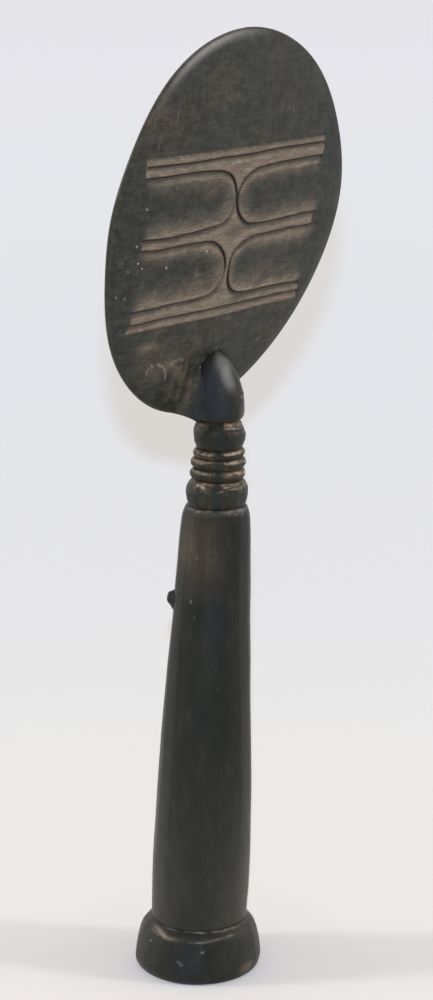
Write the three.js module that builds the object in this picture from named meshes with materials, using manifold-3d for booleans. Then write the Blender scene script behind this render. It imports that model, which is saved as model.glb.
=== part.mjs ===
// An akuaba, the carved wooden figure with a leaning oval disc for a head, a ringed neck, a
// tapering torso and a flared foot. The real one is cut from a single block, so each mesh here
// is one of the carver's own divisions, parted from its neighbour at the groove between them.
// Millimetres, +Z up, origin at the middle of the foot's underside. The face looks along -Y,
// the carved back of the head along +Y, and +X is the figure's left-hand side.

import * as THREE from "three";
import { mergeVertices } from "three/addons/utils/BufferGeometryUtils.js";
import Module from "manifold-3d";

const wasm = await Module();
wasm.setup();

// Foot: a drum with a rounded lower edge, swelling sides and a sloping ledge round the torso.
const footHeight = 18.5;
const soleRadius = 20.6;
const footRadius = 21.8;
const soleRoundHeight = 4;
const ledgeRadius = 19.4;
const ledgeFall = 2.8;

// Torso: a round post that tapers upwards and rounds over at its shoulder.
const torsoHeight = 149.4;
const torsoFootRadius = 16.5;
const torsoGirthRadius = 16.65;
const torsoTopRadius = 11.5;
const shoulderHeight = 4.6;

// Neck: a bead, three rings and a second bead, each between two grooves.
const lowerBeadHeight = 9.1;
const lowerBeadRadius = 10.4;
const lowerBeadSeatRadius = 9.4;
const ringHeight = 3.7;
const lowerRingRadius = 9.25;
const middleRingRadius = 9.2;
const upperRingHeight = 3.1;
const upperRingRadius = 8.65;
const ringSeatRadius = 8.3;
const upperBeadHeight = 9.7;
const upperBeadRadius = 8.55;
const upperBeadSeatRadius = 7.3;

// Column axis: it leans a little backwards and to the figure's right on its way to the neck's top.
const columnLeanBack = 6;
const columnLeanRight = 5.6;

// Nape boss: the rounded post behind the disc that carries it on the neck.
const bossRadius = 8.2;
const bossHeight = 24.8;
const bossSeatRadius = 6.9;
const bossRoundHeight = 1.6;
const bossStraightHeight = 4.8;
const bossLeanForward = 2;

// Head disc: an egg-shaped plate, crowned across its back and curved along its height.
const discHalfWidth = 55.3;
const discUpperHeight = 61.7;
const discLowerHeight = 71.7;
const discTipLift = 2.4;
const discSetForward = 0.3;
const discTipLean = THREE.MathUtils.degToRad(20.6);
const discCurveRadius = 461;
const discCrown = 2.9;
const discThickness = 6.8;
const rimThickness = 2.2;
const rimBandWidth = 5;
const rimBandFall = 0.6;
const discOvalPower = 1.93;

// Carving on the back of the disc: four long lobes, two to a side, between recessed strips.
const patternHalfWidth = 42.3;
const patternDrop = 6.3;
const edgeStripHeight = 2.4;
const innerStripHeight = 4;
const middleStripHeight = 3.8;
const lobeHeight = 20.8;
const lobeNoseLength = 12;
const lobeGap = 0.8;
const floorDepth = 0.9;
const grooveHalfWidth = 0.6;
const grooveDepth = 0.6;
const lobeBevelWidth = 4.4;

// Face: brows that join the long nose, small eyes and a small mouth, low on the disc's front.
const browRootDrop = 21;
const browPeakDrop = 4;
const browEndDrop = 25;
const browHalfSpan = 33;
const browWidth = 3.4;
const browRise = 1.6;
const noseLength = 25;
const noseRootDrop = 18;
const noseWidth = 6;
const noseRise = 3.2;
const eyeDrop = 28;
const eyeSpacing = 29;
const eyeLength = 13;
const eyeHeight = 5;
const eyeRise = 1.5;
const mouthDrop = 54;
const mouthLength = 11;
const mouthHeight = 4.4;
const mouthRise = 1.4;
const slitHeight = 0.6;
const slitDepth = 0.7;

// Breasts: two small nubs high on the torso's front.
const breastRadius = 3.1;
const breastRise = 2.5;
const breastDrop = 35.3;
const breastTurn = THREE.MathUtils.degToRad(38);

// Clearances and overruns.
const seatGap = 0.3;
const overrun = 3;
const mergeDistance = 1e-4;

// How finely the round forms are stepped.
const columnSegments = 40;
const discSegments = 72;
const ballSegments = 14;
const moundSegments = 20;
const faceSteps = 12;
const panelSteps = 12;
const lobePathSteps = 34;
const curveSteps = 4;

const torsoBase = footHeight;
const neckBase = torsoBase + torsoHeight;
const lowerRingBase = neckBase + lowerBeadHeight;
const middleRingBase = lowerRingBase + ringHeight;
const upperRingBase = middleRingBase + ringHeight;
const upperBeadBase = upperRingBase + upperRingHeight;
const neckTop = upperBeadBase + upperBeadHeight;

// A closed mesh as a solid. A mesh that a mirrored placing turned inside out is turned back.
function solidOf(geometry) {
  const bare = geometry.clone();
  bare.deleteAttribute("normal");
  bare.deleteAttribute("uv");
  const merged = mergeVertices(bare, mergeDistance);
  const corners = merged.attributes.position;
  const triVerts = new Uint32Array(merged.index.array);
  const [a, b, c] = [new THREE.Vector3(), new THREE.Vector3(), new THREE.Vector3()];
  let sixVolumes = 0;
  for (let i = 0; i < triVerts.length; i += 3) {
    a.fromBufferAttribute(corners, triVerts[i]);
    b.fromBufferAttribute(corners, triVerts[i + 1]);
    c.fromBufferAttribute(corners, triVerts[i + 2]);
    sixVolumes += a.dot(b.cross(c));
  }
  if (sixVolumes < 0) triVerts.reverse();
  return new wasm.Manifold(
    new wasm.Mesh({ numProp: 3, vertProperties: corners.array, triVerts }),
  );
}

function geometryOf(solid) {
  const { vertProperties, triVerts } = solid.getMesh();
  const geometry = new THREE.BufferGeometry();
  geometry.setAttribute("position", new THREE.BufferAttribute(vertProperties, 3));
  geometry.setIndex(new THREE.BufferAttribute(triVerts, 1));
  const faceted = geometry.toNonIndexed();
  faceted.computeVertexNormals();
  return faceted;
}

// Every vertex of a geometry moved by place(point).
function placed(geometry, place) {
  const corners = geometry.attributes.position;
  const point = new THREE.Vector3();
  for (let i = 0; i < corners.count; i += 1) {
    point.copy(place(point.fromBufferAttribute(corners, i)));
    corners.setXYZ(i, point.x, point.y, point.z);
  }
  return geometry;
}

// Where the column's axis passes at a height: upright at the foot, leaning more as it rises.
const earlyLeanShare = 0.85;
function columnAxis(height) {
  const climb = height / neckTop;
  const leaned = climb * (earlyLeanShare + (1 - earlyLeanShare) * climb);
  return new THREE.Vector2(-columnLeanRight * leaned, columnLeanBack * leaned);
}

// A turned piece of the column: its profile revolved, then slid sideways along the leaning axis.
function turned(profile) {
  const round = new THREE.LatheGeometry(profile, columnSegments);
  round.rotateX(Math.PI / 2);
  return placed(round, (point) => {
    const axis = columnAxis(point.z);
    return point.setX(point.x + axis.x).setY(point.y + axis.y);
  });
}

// A quarter of an ellipse between a groove and a belly, as points of a profile.
function quarterRound(grooveRadius, grooveHeight, bellyRadius, bellyHeight) {
  const points = [];
  for (let step = 0; step <= curveSteps; step += 1) {
    const angle = (step / curveSteps) * (Math.PI / 2);
    const radius = grooveRadius + (bellyRadius - grooveRadius) * Math.sin(angle);
    const height = bellyHeight + (grooveHeight - bellyHeight) * Math.cos(angle);
    points.push(new THREE.Vector2(radius, height));
  }
  return points;
}

// A rounded bead or ring between two grooves, its belly at a share of its height.
function beadProfile(base, height, baseRadius, bellyRadius, topRadius, bellyShare) {
  const belly = base + height * bellyShare;
  const rising = quarterRound(baseRadius, base, bellyRadius, belly);
  const closing = quarterRound(topRadius, base + height, bellyRadius, belly);
  return [
    new THREE.Vector2(0, base),
    ...rising,
    ...closing.reverse().slice(1),
    new THREE.Vector2(0, base + height),
  ];
}

function footProfile() {
  const outline = new THREE.Path();
  const ledgeHeight = footHeight - ledgeFall;
  const sideBend = (soleRoundHeight + ledgeHeight) / 2;
  outline.moveTo(0, 0);
  outline.lineTo(soleRadius, 0);
  outline.quadraticCurveTo(footRadius, soleRoundHeight / 2, footRadius, soleRoundHeight);
  outline.quadraticCurveTo(footRadius, sideBend, ledgeRadius, ledgeHeight);
  outline.lineTo(torsoFootRadius, footHeight);
  outline.lineTo(0, footHeight);
  return outline.getPoints(curveSteps);
}

// The torso's taper: height shares with how much of the difference between girth and top is left.
const torsoTaperShares = [
  [0.11, 1],
  [0.27, 0.9],
  [0.43, 0.75],
  [0.59, 0.56],
  [0.71, 0.34],
  [0.83, 0.19],
];

function torsoProfile(grow = 0) {
  const shoulderBase = torsoBase + torsoHeight - shoulderHeight;
  const side = torsoTaperShares.map(
    ([heightShare, girthShare]) =>
      new THREE.Vector2(
        THREE.MathUtils.lerp(torsoTopRadius, torsoGirthRadius, girthShare),
        torsoBase + torsoHeight * heightShare,
      ),
  );
  const taper = new THREE.SplineCurve([
    new THREE.Vector2(torsoFootRadius, torsoBase),
    ...side,
    new THREE.Vector2(torsoTopRadius, shoulderBase),
  ]);
  const shoulder = quarterRound(lowerBeadSeatRadius, neckBase, torsoTopRadius, shoulderBase);
  const profile = [...taper.getPoints(2 * side.length), ...shoulder.reverse().slice(1)];
  const grown = profile.map((point) => new THREE.Vector2(point.x + grow, point.y));
  return [new THREE.Vector2(0, torsoBase), ...grown, new THREE.Vector2(0, neckBase)];
}

// The disc was cut by eye, so its edge wanders off an even oval in a few long waves: each wave's
// cosine and sine share of the oval's reach, from one wave round the edge to four.
const handCutMeanShare = 0.991;
const handCutWaveShares = [
  [-0.0089, 0.0021],
  [-0.0054, -0.0028],
  [-0.0183, -0.0053],
  [0.0047, 0.0022],
];

function handCutShare(angle) {
  let share = handCutMeanShare;
  handCutWaveShares.forEach(([cosineShare, sineShare], i) => {
    const wave = (i + 1) * angle;
    share += cosineShare * Math.cos(wave) + sineShare * Math.sin(wave);
  });
  return share;
}

// The disc's outline: its reach from its middle, at an angle from the figure's left.
function discReach(angle) {
  const halfHeight = Math.sin(angle) > 0 ? discUpperHeight : discLowerHeight;
  const acrossPart = Math.abs(Math.cos(angle) / discHalfWidth) ** discOvalPower;
  const alongPart = Math.abs(Math.sin(angle) / halfHeight) ** discOvalPower;
  return (acrossPart + alongPart) ** (-1 / discOvalPower) * handCutShare(angle);
}

// The disc's lower tip stands in front of the boss, and its curve runs up and back from there.
const discTip = new THREE.Vector3(
  0,
  columnLeanBack - bossRadius - discCrown - discSetForward,
  neckTop + discTipLift,
);

// A point of the disc: across it, up its curve from the middle, and out from its back face.
function onDisc(across, along, out) {
  const lean = discTipLean - (along + discLowerHeight) / discCurveRadius;
  const crown = discCrown * (1 - (across / discHalfWidth) ** 2);
  const runBack = discCurveRadius * (Math.cos(lean) - Math.cos(discTipLean));
  const runUp = discCurveRadius * (Math.sin(discTipLean) - Math.sin(lean));
  return new THREE.Vector3(
    discTip.x + across,
    discTip.y + runBack + crown + out * Math.cos(lean),
    discTip.z + runUp - out * Math.sin(lean),
  );
}

// How deep the disc's back and front lie at a share of the way to its rim.
function rimFall(share) {
  const bandShare = rimBandWidth / discHalfWidth;
  const intoBand = Math.max(0, (share - 1 + bandShare) / bandShare);
  return rimBandFall * intoBand ** 2;
}

function frontDepth(share) {
  const swell = discThickness - rimThickness - rimBandFall;
  return discThickness - swell * share ** 2 - rimFall(share);
}

// The plate of the disc, turned as a round one, drawn out to the egg and laid on its curve.
const backRingShares = [0, 0.2, 0.4, 0.6, 0.78, 0.91, 0.96];
const frontRingShares = [0, 0.3, 0.6, 0.8, 0.91];
function discPlate(grow) {
  const rimRound = rimThickness / 2;
  const rimShare = 1 - rimRound / discHalfWidth;
  const back = [...backRingShares, rimShare].map(
    (share) => new THREE.Vector2(share * discHalfWidth, grow - rimFall(share)),
  );
  const front = [...frontRingShares, rimShare].map(
    (share) => new THREE.Vector2(share * discHalfWidth, -grow - frontDepth(share)),
  );
  const rimMiddle = (back.at(-1).y + front.at(-1).y) / 2;
  const rimHalf = (back.at(-1).y - front.at(-1).y) / 2;
  const rim = [];
  for (let step = 1; step < curveSteps; step += 1) {
    const angle = Math.PI * (1 / 2 - step / curveSteps);
    const radius = discHalfWidth - rimRound + (rimRound + grow) * Math.cos(angle);
    rim.push(new THREE.Vector2(radius, rimMiddle + rimHalf * Math.sin(angle)));
  }
  const plate = new THREE.LatheGeometry([...back, ...rim, ...front.reverse()], discSegments);
  return solidOf(
    placed(plate, (point) => {
      const stretch = discReach(Math.atan2(point.z, point.x)) / discHalfWidth;
      return onDisc(point.x * stretch, point.z * stretch, point.y);
    }),
  );
}

// A section drawn along a path on the disc. Its x runs to the left of the path, its y out of
// the face that lay places it on, and swell(share) sizes it on the way.
function carved(section, path, lay, swell = () => 1) {
  const steps = path.length - 1;
  const bar = new THREE.ExtrudeGeometry(section, { depth: steps, steps, bevelEnabled: false });
  return solidOf(
    placed(bar, (point) => {
      const at = Math.round(point.z);
      const ahead = path[Math.min(at + 1, steps)];
      const behind = path[Math.max(at - 1, 0)];
      const way = new THREE.Vector2().subVectors(ahead, behind).normalize();
      const size = swell(at / steps);
      const sideways = point.x * size;
      return lay(path[at].x - way.y * sideways, path[at].y + way.x * sideways, point.y * size);
    }),
  );
}

// An outline on the disc as a plug that reaches well above and below its back face.
function plug(outline) {
  const shape = new THREE.Shape(outline);
  const block = new THREE.ExtrudeGeometry(shape, { depth: 4 * overrun, bevelEnabled: false });
  return solidOf(placed(block, (point) => onDisc(point.x, point.y, point.z - 2 * overrun)));
}

// The carved panel. Each lobe is a long tongue that opens to its own side of the disc, and the
// panel's floor of strips and webs runs between the lobes.
const bandHalfHeight = middleStripHeight / 2;
const lobeMiddle = bandHalfHeight + lobeHeight / 2;
const stripMiddle = bandHalfHeight + lobeHeight + innerStripHeight;
const panelHalfHeight = stripMiddle + edgeStripHeight;

function lobePath(side, level, reach) {
  const outline = new THREE.Path();
  const noseStart = lobeGap / 2 + lobeNoseLength;
  const halfHeight = lobeHeight / 2;
  outline.moveTo(reach, halfHeight);
  outline.lineTo(noseStart, halfHeight);
  outline.absellipse(
    noseStart, 0, lobeNoseLength, halfHeight, Math.PI / 2, (3 * Math.PI) / 2, false, 0,
  );
  outline.lineTo(reach, -halfHeight);
  return outline
    .getSpacedPoints(lobePathSteps)
    .map((point) => new THREE.Vector2(side * point.x, point.y + level - patternDrop));
}

function levelPath(level) {
  const path = [];
  for (let step = 0; step <= panelSteps; step += 1) {
    const across = THREE.MathUtils.lerp(-patternHalfWidth, patternHalfWidth, step / panelSteps);
    path.push(new THREE.Vector2(across, level - patternDrop));
  }
  return path;
}

function lobeCutSection(side) {
  const floor = -floorDepth;
  const lip = 2 * grooveHalfWidth;
  const section = new THREE.Shape();
  section.moveTo(-side * grooveHalfWidth, overrun);
  section.lineTo(-side * grooveHalfWidth, floor);
  section.lineTo(0, floor - grooveDepth);
  section.lineTo(side * lip, floor / 2);
  section.lineTo(side * lobeBevelWidth, 0);
  section.lineTo(side * lobeBevelWidth, overrun);
  return section;
}

function stripGrooveSection() {
  const section = new THREE.Shape();
  section.moveTo(-grooveHalfWidth, overrun);
  section.lineTo(-grooveHalfWidth, -floorDepth);
  section.lineTo(0, -floorDepth - grooveDepth);
  section.lineTo(grooveHalfWidth, -floorDepth);
  section.lineTo(grooveHalfWidth, overrun);
  return section;
}

// The slab of wood that leaves the panel: as high as the pattern, down to the panel's floor.
function panelSection() {
  const outline = [];
  for (let step = 0; step <= panelSteps; step += 1) {
    const rise = THREE.MathUtils.lerp(-panelHalfHeight, panelHalfHeight, step / panelSteps);
    outline.push(new THREE.Vector2(rise, -floorDepth));
  }
  outline.push(new THREE.Vector2(panelHalfHeight, overrun));
  outline.push(new THREE.Vector2(-panelHalfHeight, overrun));
  return new THREE.Shape(outline);
}

function headDisc() {
  let floorCut = carved(panelSection(), levelPath(0), onDisc);
  const cuts = [];
  for (const side of [-1, 1]) {
    for (const level of [-lobeMiddle, lobeMiddle]) {
      floorCut = floorCut.subtract(plug(lobePath(side, level, patternHalfWidth + overrun)));
      cuts.push(carved(lobeCutSection(side), lobePath(side, level, patternHalfWidth), onDisc));
    }
  }
  for (const level of [-stripMiddle, stripMiddle]) {
    cuts.push(carved(stripGrooveSection(), levelPath(level), onDisc));
  }
  let head = discPlate(0).subtract(floorCut);
  for (const cut of cuts) head = head.subtract(cut);
  return head;
}

// A point of the disc's front, out towards the viewer of the face.
function onFace(across, along, out) {
  const share = Math.hypot(across, along) / discReach(Math.atan2(along, across));
  return onDisc(across, along, -frontDepth(share) - out);
}

// Half-round bar section that stands on its clearance over the face.
function reliefSection(width, rise) {
  const section = new THREE.Shape();
  section.moveTo(width / 2, seatGap);
  section.absellipse(0, seatGap, width / 2, rise - seatGap, 0, Math.PI, false, 0);
  return new THREE.Shape(section.getPoints(curveSteps));
}

function browAndNose() {
  const browTaperShare = 0.45;
  const noseTaperShare = 0.4;
  const nosePath = [];
  for (let step = 0; step <= faceSteps; step += 1) {
    nosePath.push(new THREE.Vector2(0, -noseRootDrop - (noseLength * step) / faceSteps));
  }
  const nose = (share) => noseTaperShare + (1 - noseTaperShare) * share;
  let relief = carved(reliefSection(noseWidth, noseRise), nosePath, onFace, nose);
  for (const side of [-1, 1]) {
    const arch = new THREE.QuadraticBezierCurve(
      new THREE.Vector2(-side * (browWidth / 4), -browRootDrop),
      new THREE.Vector2((side * browHalfSpan) / 2, -browPeakDrop),
      new THREE.Vector2(side * browHalfSpan, -browEndDrop),
    );
    const brow = (share) => 1 - browTaperShare * share;
    const bar = carved(reliefSection(browWidth, browRise), arch.getPoints(faceSteps), onFace, brow);
    relief = relief.add(bar);
  }
  return relief;
}

// A low oval mound on the face with a slit along its middle, as the eyes and the mouth are cut.
function slitMound(across, drop, length, height, rise) {
  const slitShare = 0.8;
  const dome = [new THREE.Vector2(0, 0), ...quarterRound(0, 1, 1, 0).reverse()];
  const mound = new THREE.LatheGeometry(dome, moundSegments);
  const lay = (point) =>
    onFace(
      across + (point.x * length) / 2,
      -drop + (point.z * height) / 2,
      THREE.MathUtils.lerp(seatGap, rise, point.y),
    );
  const slit = new THREE.BoxGeometry(length * slitShare, slitHeight, 2 * slitDepth);
  const cut = placed(slit, (point) => onFace(across + point.x, point.y - drop, rise + point.z));
  return solidOf(placed(mound, lay)).subtract(solidOf(cut));
}

// The torso's radius at a height, read between the two profile points about it.
function torsoRadiusAt(height) {
  const profile = torsoProfile();
  const above = profile.findIndex((point, i) => i > 1 && point.y >= height);
  const [low, high] = [profile[above - 1], profile[above]];
  return THREE.MathUtils.mapLinear(height, low.y, high.y, low.x, high.x);
}

// A nub on the torso: a ball whose inner part the torso cuts away.
function breast(side) {
  const breastHeight = neckBase - breastDrop;
  const reach = torsoRadiusAt(breastHeight) + breastRise - breastRadius;
  const axis = columnAxis(breastHeight);
  const ball = new THREE.SphereGeometry(breastRadius, ballSegments, ballSegments / 2);
  ball.translate(
    axis.x + side * reach * Math.sin(breastTurn),
    axis.y - reach * Math.cos(breastTurn),
    breastHeight,
  );
  return solidOf(ball).subtract(solidOf(turned(torsoProfile(seatGap))));
}

function napeBoss() {
  const outline = new THREE.Path();
  const straightTop = neckTop + bossStraightHeight;
  const domeHeight = bossHeight - bossStraightHeight;
  outline.moveTo(0, neckTop);
  outline.lineTo(bossSeatRadius, neckTop);
  outline.quadraticCurveTo(bossRadius, neckTop, bossRadius, neckTop + bossRoundHeight);
  outline.lineTo(bossRadius, straightTop);
  outline.absellipse(0, straightTop, bossRadius, domeHeight, 0, Math.PI / 2, false, 0);
  const post = turned(outline.getPoints(2 * curveSteps));
  placed(post, (point) => {
    const climb = (point.z - neckTop) / bossHeight;
    return point.setY(point.y - bossLeanForward * climb);
  });
  return solidOf(post).subtract(discPlate(seatGap));
}

function woodMaterial(color, roughness) {
  return new THREE.MeshStandardMaterial({ color, roughness, metalness: 0 });
}

const figure = new THREE.Group();
function addPiece(name, geometry, color, roughness) {
  const piece = new THREE.Mesh(geometry, woodMaterial(color, roughness));
  piece.name = name;
  figure.add(piece);
}

const blackWood = 0x2c2c28;
const discWood = 0x3f3c37;
const wornWood = 0x4a4038;

// The neck from the torso up: base, height, groove below, belly, groove above, belly's height share.
const neckPieces = {
  lower_neck_bead:
    [neckBase, lowerBeadHeight, lowerBeadSeatRadius, lowerBeadRadius, ringSeatRadius, 0.46],
  neck_ring_lower:
    [lowerRingBase, ringHeight, ringSeatRadius, lowerRingRadius, ringSeatRadius, 0.38],
  neck_ring_middle:
    [middleRingBase, ringHeight, ringSeatRadius, middleRingRadius, ringSeatRadius, 0.5],
  neck_ring_upper:
    [upperRingBase, upperRingHeight, ringSeatRadius, upperRingRadius, upperBeadSeatRadius, 0.48],
  upper_neck_bead:
    [upperBeadBase, upperBeadHeight, upperBeadSeatRadius, upperBeadRadius, bossSeatRadius, 0.45],
};

addPiece("foot", turned(footProfile()), blackWood, 0.45);
addPiece("torso", turned(torsoProfile()), blackWood, 0.45);
addPiece("left_breast", geometryOf(breast(1)), blackWood, 0.45);
addPiece("right_breast", geometryOf(breast(-1)), blackWood, 0.45);
for (const [name, sizes] of Object.entries(neckPieces)) {
  addPiece(name, turned(beadProfile(...sizes)), wornWood, 0.5);
}
addPiece("nape_boss", geometryOf(napeBoss()), blackWood, 0.4);
addPiece("head_disc", geometryOf(headDisc()), discWood, 0.55);
addPiece("brow_and_nose", geometryOf(browAndNose()), discWood, 0.5);
const eyeSizes = [eyeLength, eyeHeight, eyeRise];
const mouthSizes = [mouthLength, mouthHeight, mouthRise];
addPiece("left_eye", geometryOf(slitMound(eyeSpacing / 2, eyeDrop, ...eyeSizes)), discWood, 0.5);
addPiece("right_eye", geometryOf(slitMound(-eyeSpacing / 2, eyeDrop, ...eyeSizes)), discWood, 0.5);
addPiece("mouth", geometryOf(slitMound(0, mouthDrop, ...mouthSizes)), discWood, 0.5);

export default figure;
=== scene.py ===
# %% [markdown]
# # A carved wooden figure, dressed in Blender
#
# The figure is an akuaba: a leaning oval disc for a head, a ringed neck, a tapering torso and a
# flared foot, all cut from one block and stained black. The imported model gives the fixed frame.
# Each cell below makes one piece of it again with the carver's detail, and puts it where its
# plain solid stands.

import math

import bpy
import numpy as np
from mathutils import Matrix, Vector


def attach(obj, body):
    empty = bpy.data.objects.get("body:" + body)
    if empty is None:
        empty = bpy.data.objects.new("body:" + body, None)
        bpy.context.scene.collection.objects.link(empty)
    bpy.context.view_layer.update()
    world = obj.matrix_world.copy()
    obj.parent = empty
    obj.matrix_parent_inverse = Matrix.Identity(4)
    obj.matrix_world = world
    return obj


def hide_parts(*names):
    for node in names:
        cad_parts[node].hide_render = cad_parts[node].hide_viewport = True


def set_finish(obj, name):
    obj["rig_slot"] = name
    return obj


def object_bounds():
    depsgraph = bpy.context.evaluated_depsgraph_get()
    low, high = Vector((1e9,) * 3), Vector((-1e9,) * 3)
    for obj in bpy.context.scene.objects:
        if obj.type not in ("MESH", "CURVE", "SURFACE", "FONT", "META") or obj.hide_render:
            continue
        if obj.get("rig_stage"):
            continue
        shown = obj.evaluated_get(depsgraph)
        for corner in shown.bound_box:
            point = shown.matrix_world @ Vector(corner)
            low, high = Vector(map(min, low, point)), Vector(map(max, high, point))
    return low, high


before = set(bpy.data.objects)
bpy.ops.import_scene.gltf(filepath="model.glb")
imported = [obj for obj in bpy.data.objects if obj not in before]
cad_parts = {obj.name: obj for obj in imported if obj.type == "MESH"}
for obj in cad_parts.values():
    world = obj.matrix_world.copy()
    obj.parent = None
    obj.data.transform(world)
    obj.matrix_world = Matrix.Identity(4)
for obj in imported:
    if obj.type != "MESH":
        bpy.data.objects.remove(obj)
cad_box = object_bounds()
print("solids in the frame:", len(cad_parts))
print("box of the solids, mm:", [round(1000 * v) for corner in cad_box for v in corner])

# %% [markdown]
# ## The camera
#
# The photograph was taken from behind the figure's left shoulder, a little above it. A long lens
# keeps the column nearly straight. The sensor's 36 mm lie along the frame's long side, which is
# its height.

# %% The camera
CAMERA_TURN, CAMERA_DIP = math.radians(132.998), math.radians(14.871)
CAMERA_PLACE = (0.680448, 0.643861, 0.417804)


def add_object(name, data):
    """A new object in the scene."""
    made = bpy.data.objects.new(name, data)
    bpy.context.scene.collection.objects.link(made)
    return made


camera = add_object("camera", bpy.data.cameras.new("camera"))
camera.data.sensor_width, camera.data.lens = 36, 102.82
camera.location = CAMERA_PLACE
camera.rotation_euler = (math.pi / 2 - CAMERA_DIP, 0, CAMERA_TURN)
bpy.context.scene.camera = camera
print("camera to figure, m:", round(math.hypot(*CAMERA_PLACE[:2]), 3))

# %% [markdown]
# ## Lines, surfaces and pieces
#
# All sizes are written in millimetres and turned to metres when a mesh is made. A carved form is
# a sheet of points in rows, and the faces join each row to the next. `smooth_line` rounds a line
# through a few measured points, so a profile needs only those points where it changes. A mask is
# a number kept at each point, such as how worn the wood is there, and the finish reads it.

# %% Lines and surfaces
MM = 0.001


def smooth_line(points, spacing):
    """Points about `spacing` apart on a rounded line through the given points."""
    points = np.asarray(points, float)
    knots = np.vstack([2 * points[0] - points[1], points, 2 * points[-1] - points[-2]])
    fine = []
    for a, b, c, d in zip(knots, knots[1:], knots[2:], knots[3:]):
        t = np.linspace(0, 1, 12, endpoint=False)[:, None]
        square, cube = (2 * a - 5 * b + 4 * c - d) * t**2, (3 * b - a - 3 * c + d) * t**3
        fine.append(0.5 * (2 * b + (c - a) * t + square + cube))
    fine = np.vstack([*fine, points[-1:]])
    run = np.concatenate([[0], np.cumsum(np.linalg.norm(np.diff(fine, axis=0), axis=1))])
    steps = np.linspace(0, run[-1], max(2, round(run[-1] / spacing) + 1))
    return np.stack([np.interp(steps, run, column) for column in fine.T], axis=1)


def ease(low, high, value):
    """0 below low, 1 above high, and a soft step between them."""
    t = np.clip((value - low) / (high - low), 0, 1)
    return t * t * (3 - 2 * t)


def bell(value, width):
    """1 where a value is 0, and softly down to 0 some widths away."""
    return np.exp(-((value / width) ** 2))


def ripple(a, b, seed, count=6):
    """Smooth uneven waves from -1 to 1 over two directions, the same on each run."""
    draw = np.random.default_rng(seed)
    waves = draw.normal(size=(count, 2))
    starts = draw.uniform(0, 2 * math.pi, count)
    total = sum(np.sin(w[0] * a + w[1] * b + s) for w, s in zip(waves, starts))
    return total / math.sqrt(count)


def quads(number):
    """Faces between the rows of a grid of point numbers."""
    corners = [number[:-1, :-1], number[:-1, 1:], number[1:, 1:], number[1:, :-1]]
    return np.stack(corners, axis=-1).reshape(-1, 4).tolist()


def closed_quads(rows, columns, first=0):
    """Faces between closed rings of points, which are numbered from `first`."""
    number = first + np.arange(rows * columns).reshape(rows, columns)
    return quads(np.hstack([number, number[:, :1]]))


carved_pieces = []


def make_piece(name, points, faces, slot, node, masks):
    """A piece from points in mm, which replaces its solid and keeps its masks for the finish."""
    mesh = bpy.data.meshes.new(name)
    mesh.from_pydata((np.asarray(points) * MM).tolist(), [], faces)
    for mask, values in masks.items():
        layer = mesh.attributes.new(mask, "FLOAT", "POINT")
        layer.data.foreach_set("value", np.asarray(values, np.float32).ravel())
    mesh.shade_smooth()
    piece = add_object(name, mesh)
    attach(piece, "root")
    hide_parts(node)
    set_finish(piece, slot)
    carved_pieces.append(piece)
    print(f"{name}: {len(mesh.vertices)} points, {len(mesh.polygons)} faces")


# %% [markdown]
# ## The column
#
# Foot, torso, beads and rings are round, so each is turned from a profile of radius and height.
# The carver's axis isn't upright: it leans a little back and to the figure's right as it rises,
# and each ring of points slides along with it. The wood was shaved with a knife and not turned,
# so long shallow facets run up it.

# %% The column's axis and its turned pieces
NECK_TOP = 197.2
LEAN_RIGHT, LEAN_BACK = 5.6, 6
FACING = math.radians(43)  # the side of the column that faces the camera


def column_axis(height):
    """Where the column's axis is at a height."""
    climb = height / NECK_TOP
    leaned = climb * (0.85 + 0.15 * climb)
    return -LEAN_RIGHT * leaned, LEAN_BACK * leaned


def facets(turn, height, count, depth, seed):
    """How far a knife's flats lie under the mean round: deepest mid-flat, proud at the ridges."""
    wander = 0.35 * ripple(height / 45, 0 * turn, seed)
    across = (turn * count / (2 * math.pi) + wander) % 1 - 0.5
    uneven = 0.75 + 0.25 * ripple(2 * turn, height / 30, seed + 1)
    return depth * (0.67 - (2 * across) ** 2) * uneven


def ring_grid(line, segments):
    """Turn, height and radius at each point of the rings that go round a profile."""
    round_turns = np.linspace(0, 2 * math.pi, segments, endpoint=False)
    height, turn = np.meshgrid(line[:, 1], round_turns, indexing="ij")
    return turn, height, line[:, :1] + 0 * turn


def make_round(name, rings, ends, slot, node, masks):
    """A piece from closed rings of points. A middle point at each end closes it."""
    count, segments = rings.shape[:2]
    faces = closed_quads(count, segments)
    last = count * segments
    for i in range(segments):
        after = (i + 1) % segments
        faces.append([last, after, i])
        faces.append([last + 1, last - segments + i, last - segments + after])
    masks = {mask: np.append(np.clip(values, 0, 1), [0, 0]) for mask, values in masks.items()}
    make_piece(name, np.vstack([rings.reshape(-1, 3), ends]), faces, slot, node, masks)


def turned(name, profile, spacing, segments, slot, node, carve):
    """A round piece. `carve` gets each point's turn, height and radius, and gives back the
    radius as cut and the masks."""
    line = smooth_line(profile, spacing)
    turn, height, radius = ring_grid(line, segments)
    cut, masks = carve(turn, height, radius)
    middle_x, middle_y = column_axis(height)
    rings = np.stack([middle_x + cut * np.cos(turn), middle_y + cut * np.sin(turn), height], -1)
    ends = [[*column_axis(end), end] for end in line[[0, -1], 1]]
    make_round(name, rings, ends, slot, node, masks)


# %% [markdown]
# ## Wear on the column
#
# Each piece has its own wear: thin rubbed lines, such as on the crest of a ring, and soft round
# patches, such as where a thumb rests. Tables list them under the mask that they add to. A place
# is how far round it is from the camera's side, in radians, and its height in mm.

# %% Marks and patches
def from_camera(turn):
    """How far round from the camera's side, from -pi to pi, positive to the photograph's right."""
    return (turn - FACING + math.pi) % (2 * math.pi) - math.pi


def patch(turn, height, at_turn, at_height, half_turn, half_height):
    """A soft round patch on the column, 1 in its middle."""
    across = (from_camera(turn) - at_turn) / half_turn
    up = (height - at_height) / half_height
    return np.exp(-(across**2 + up**2) ** 1.5)


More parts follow.
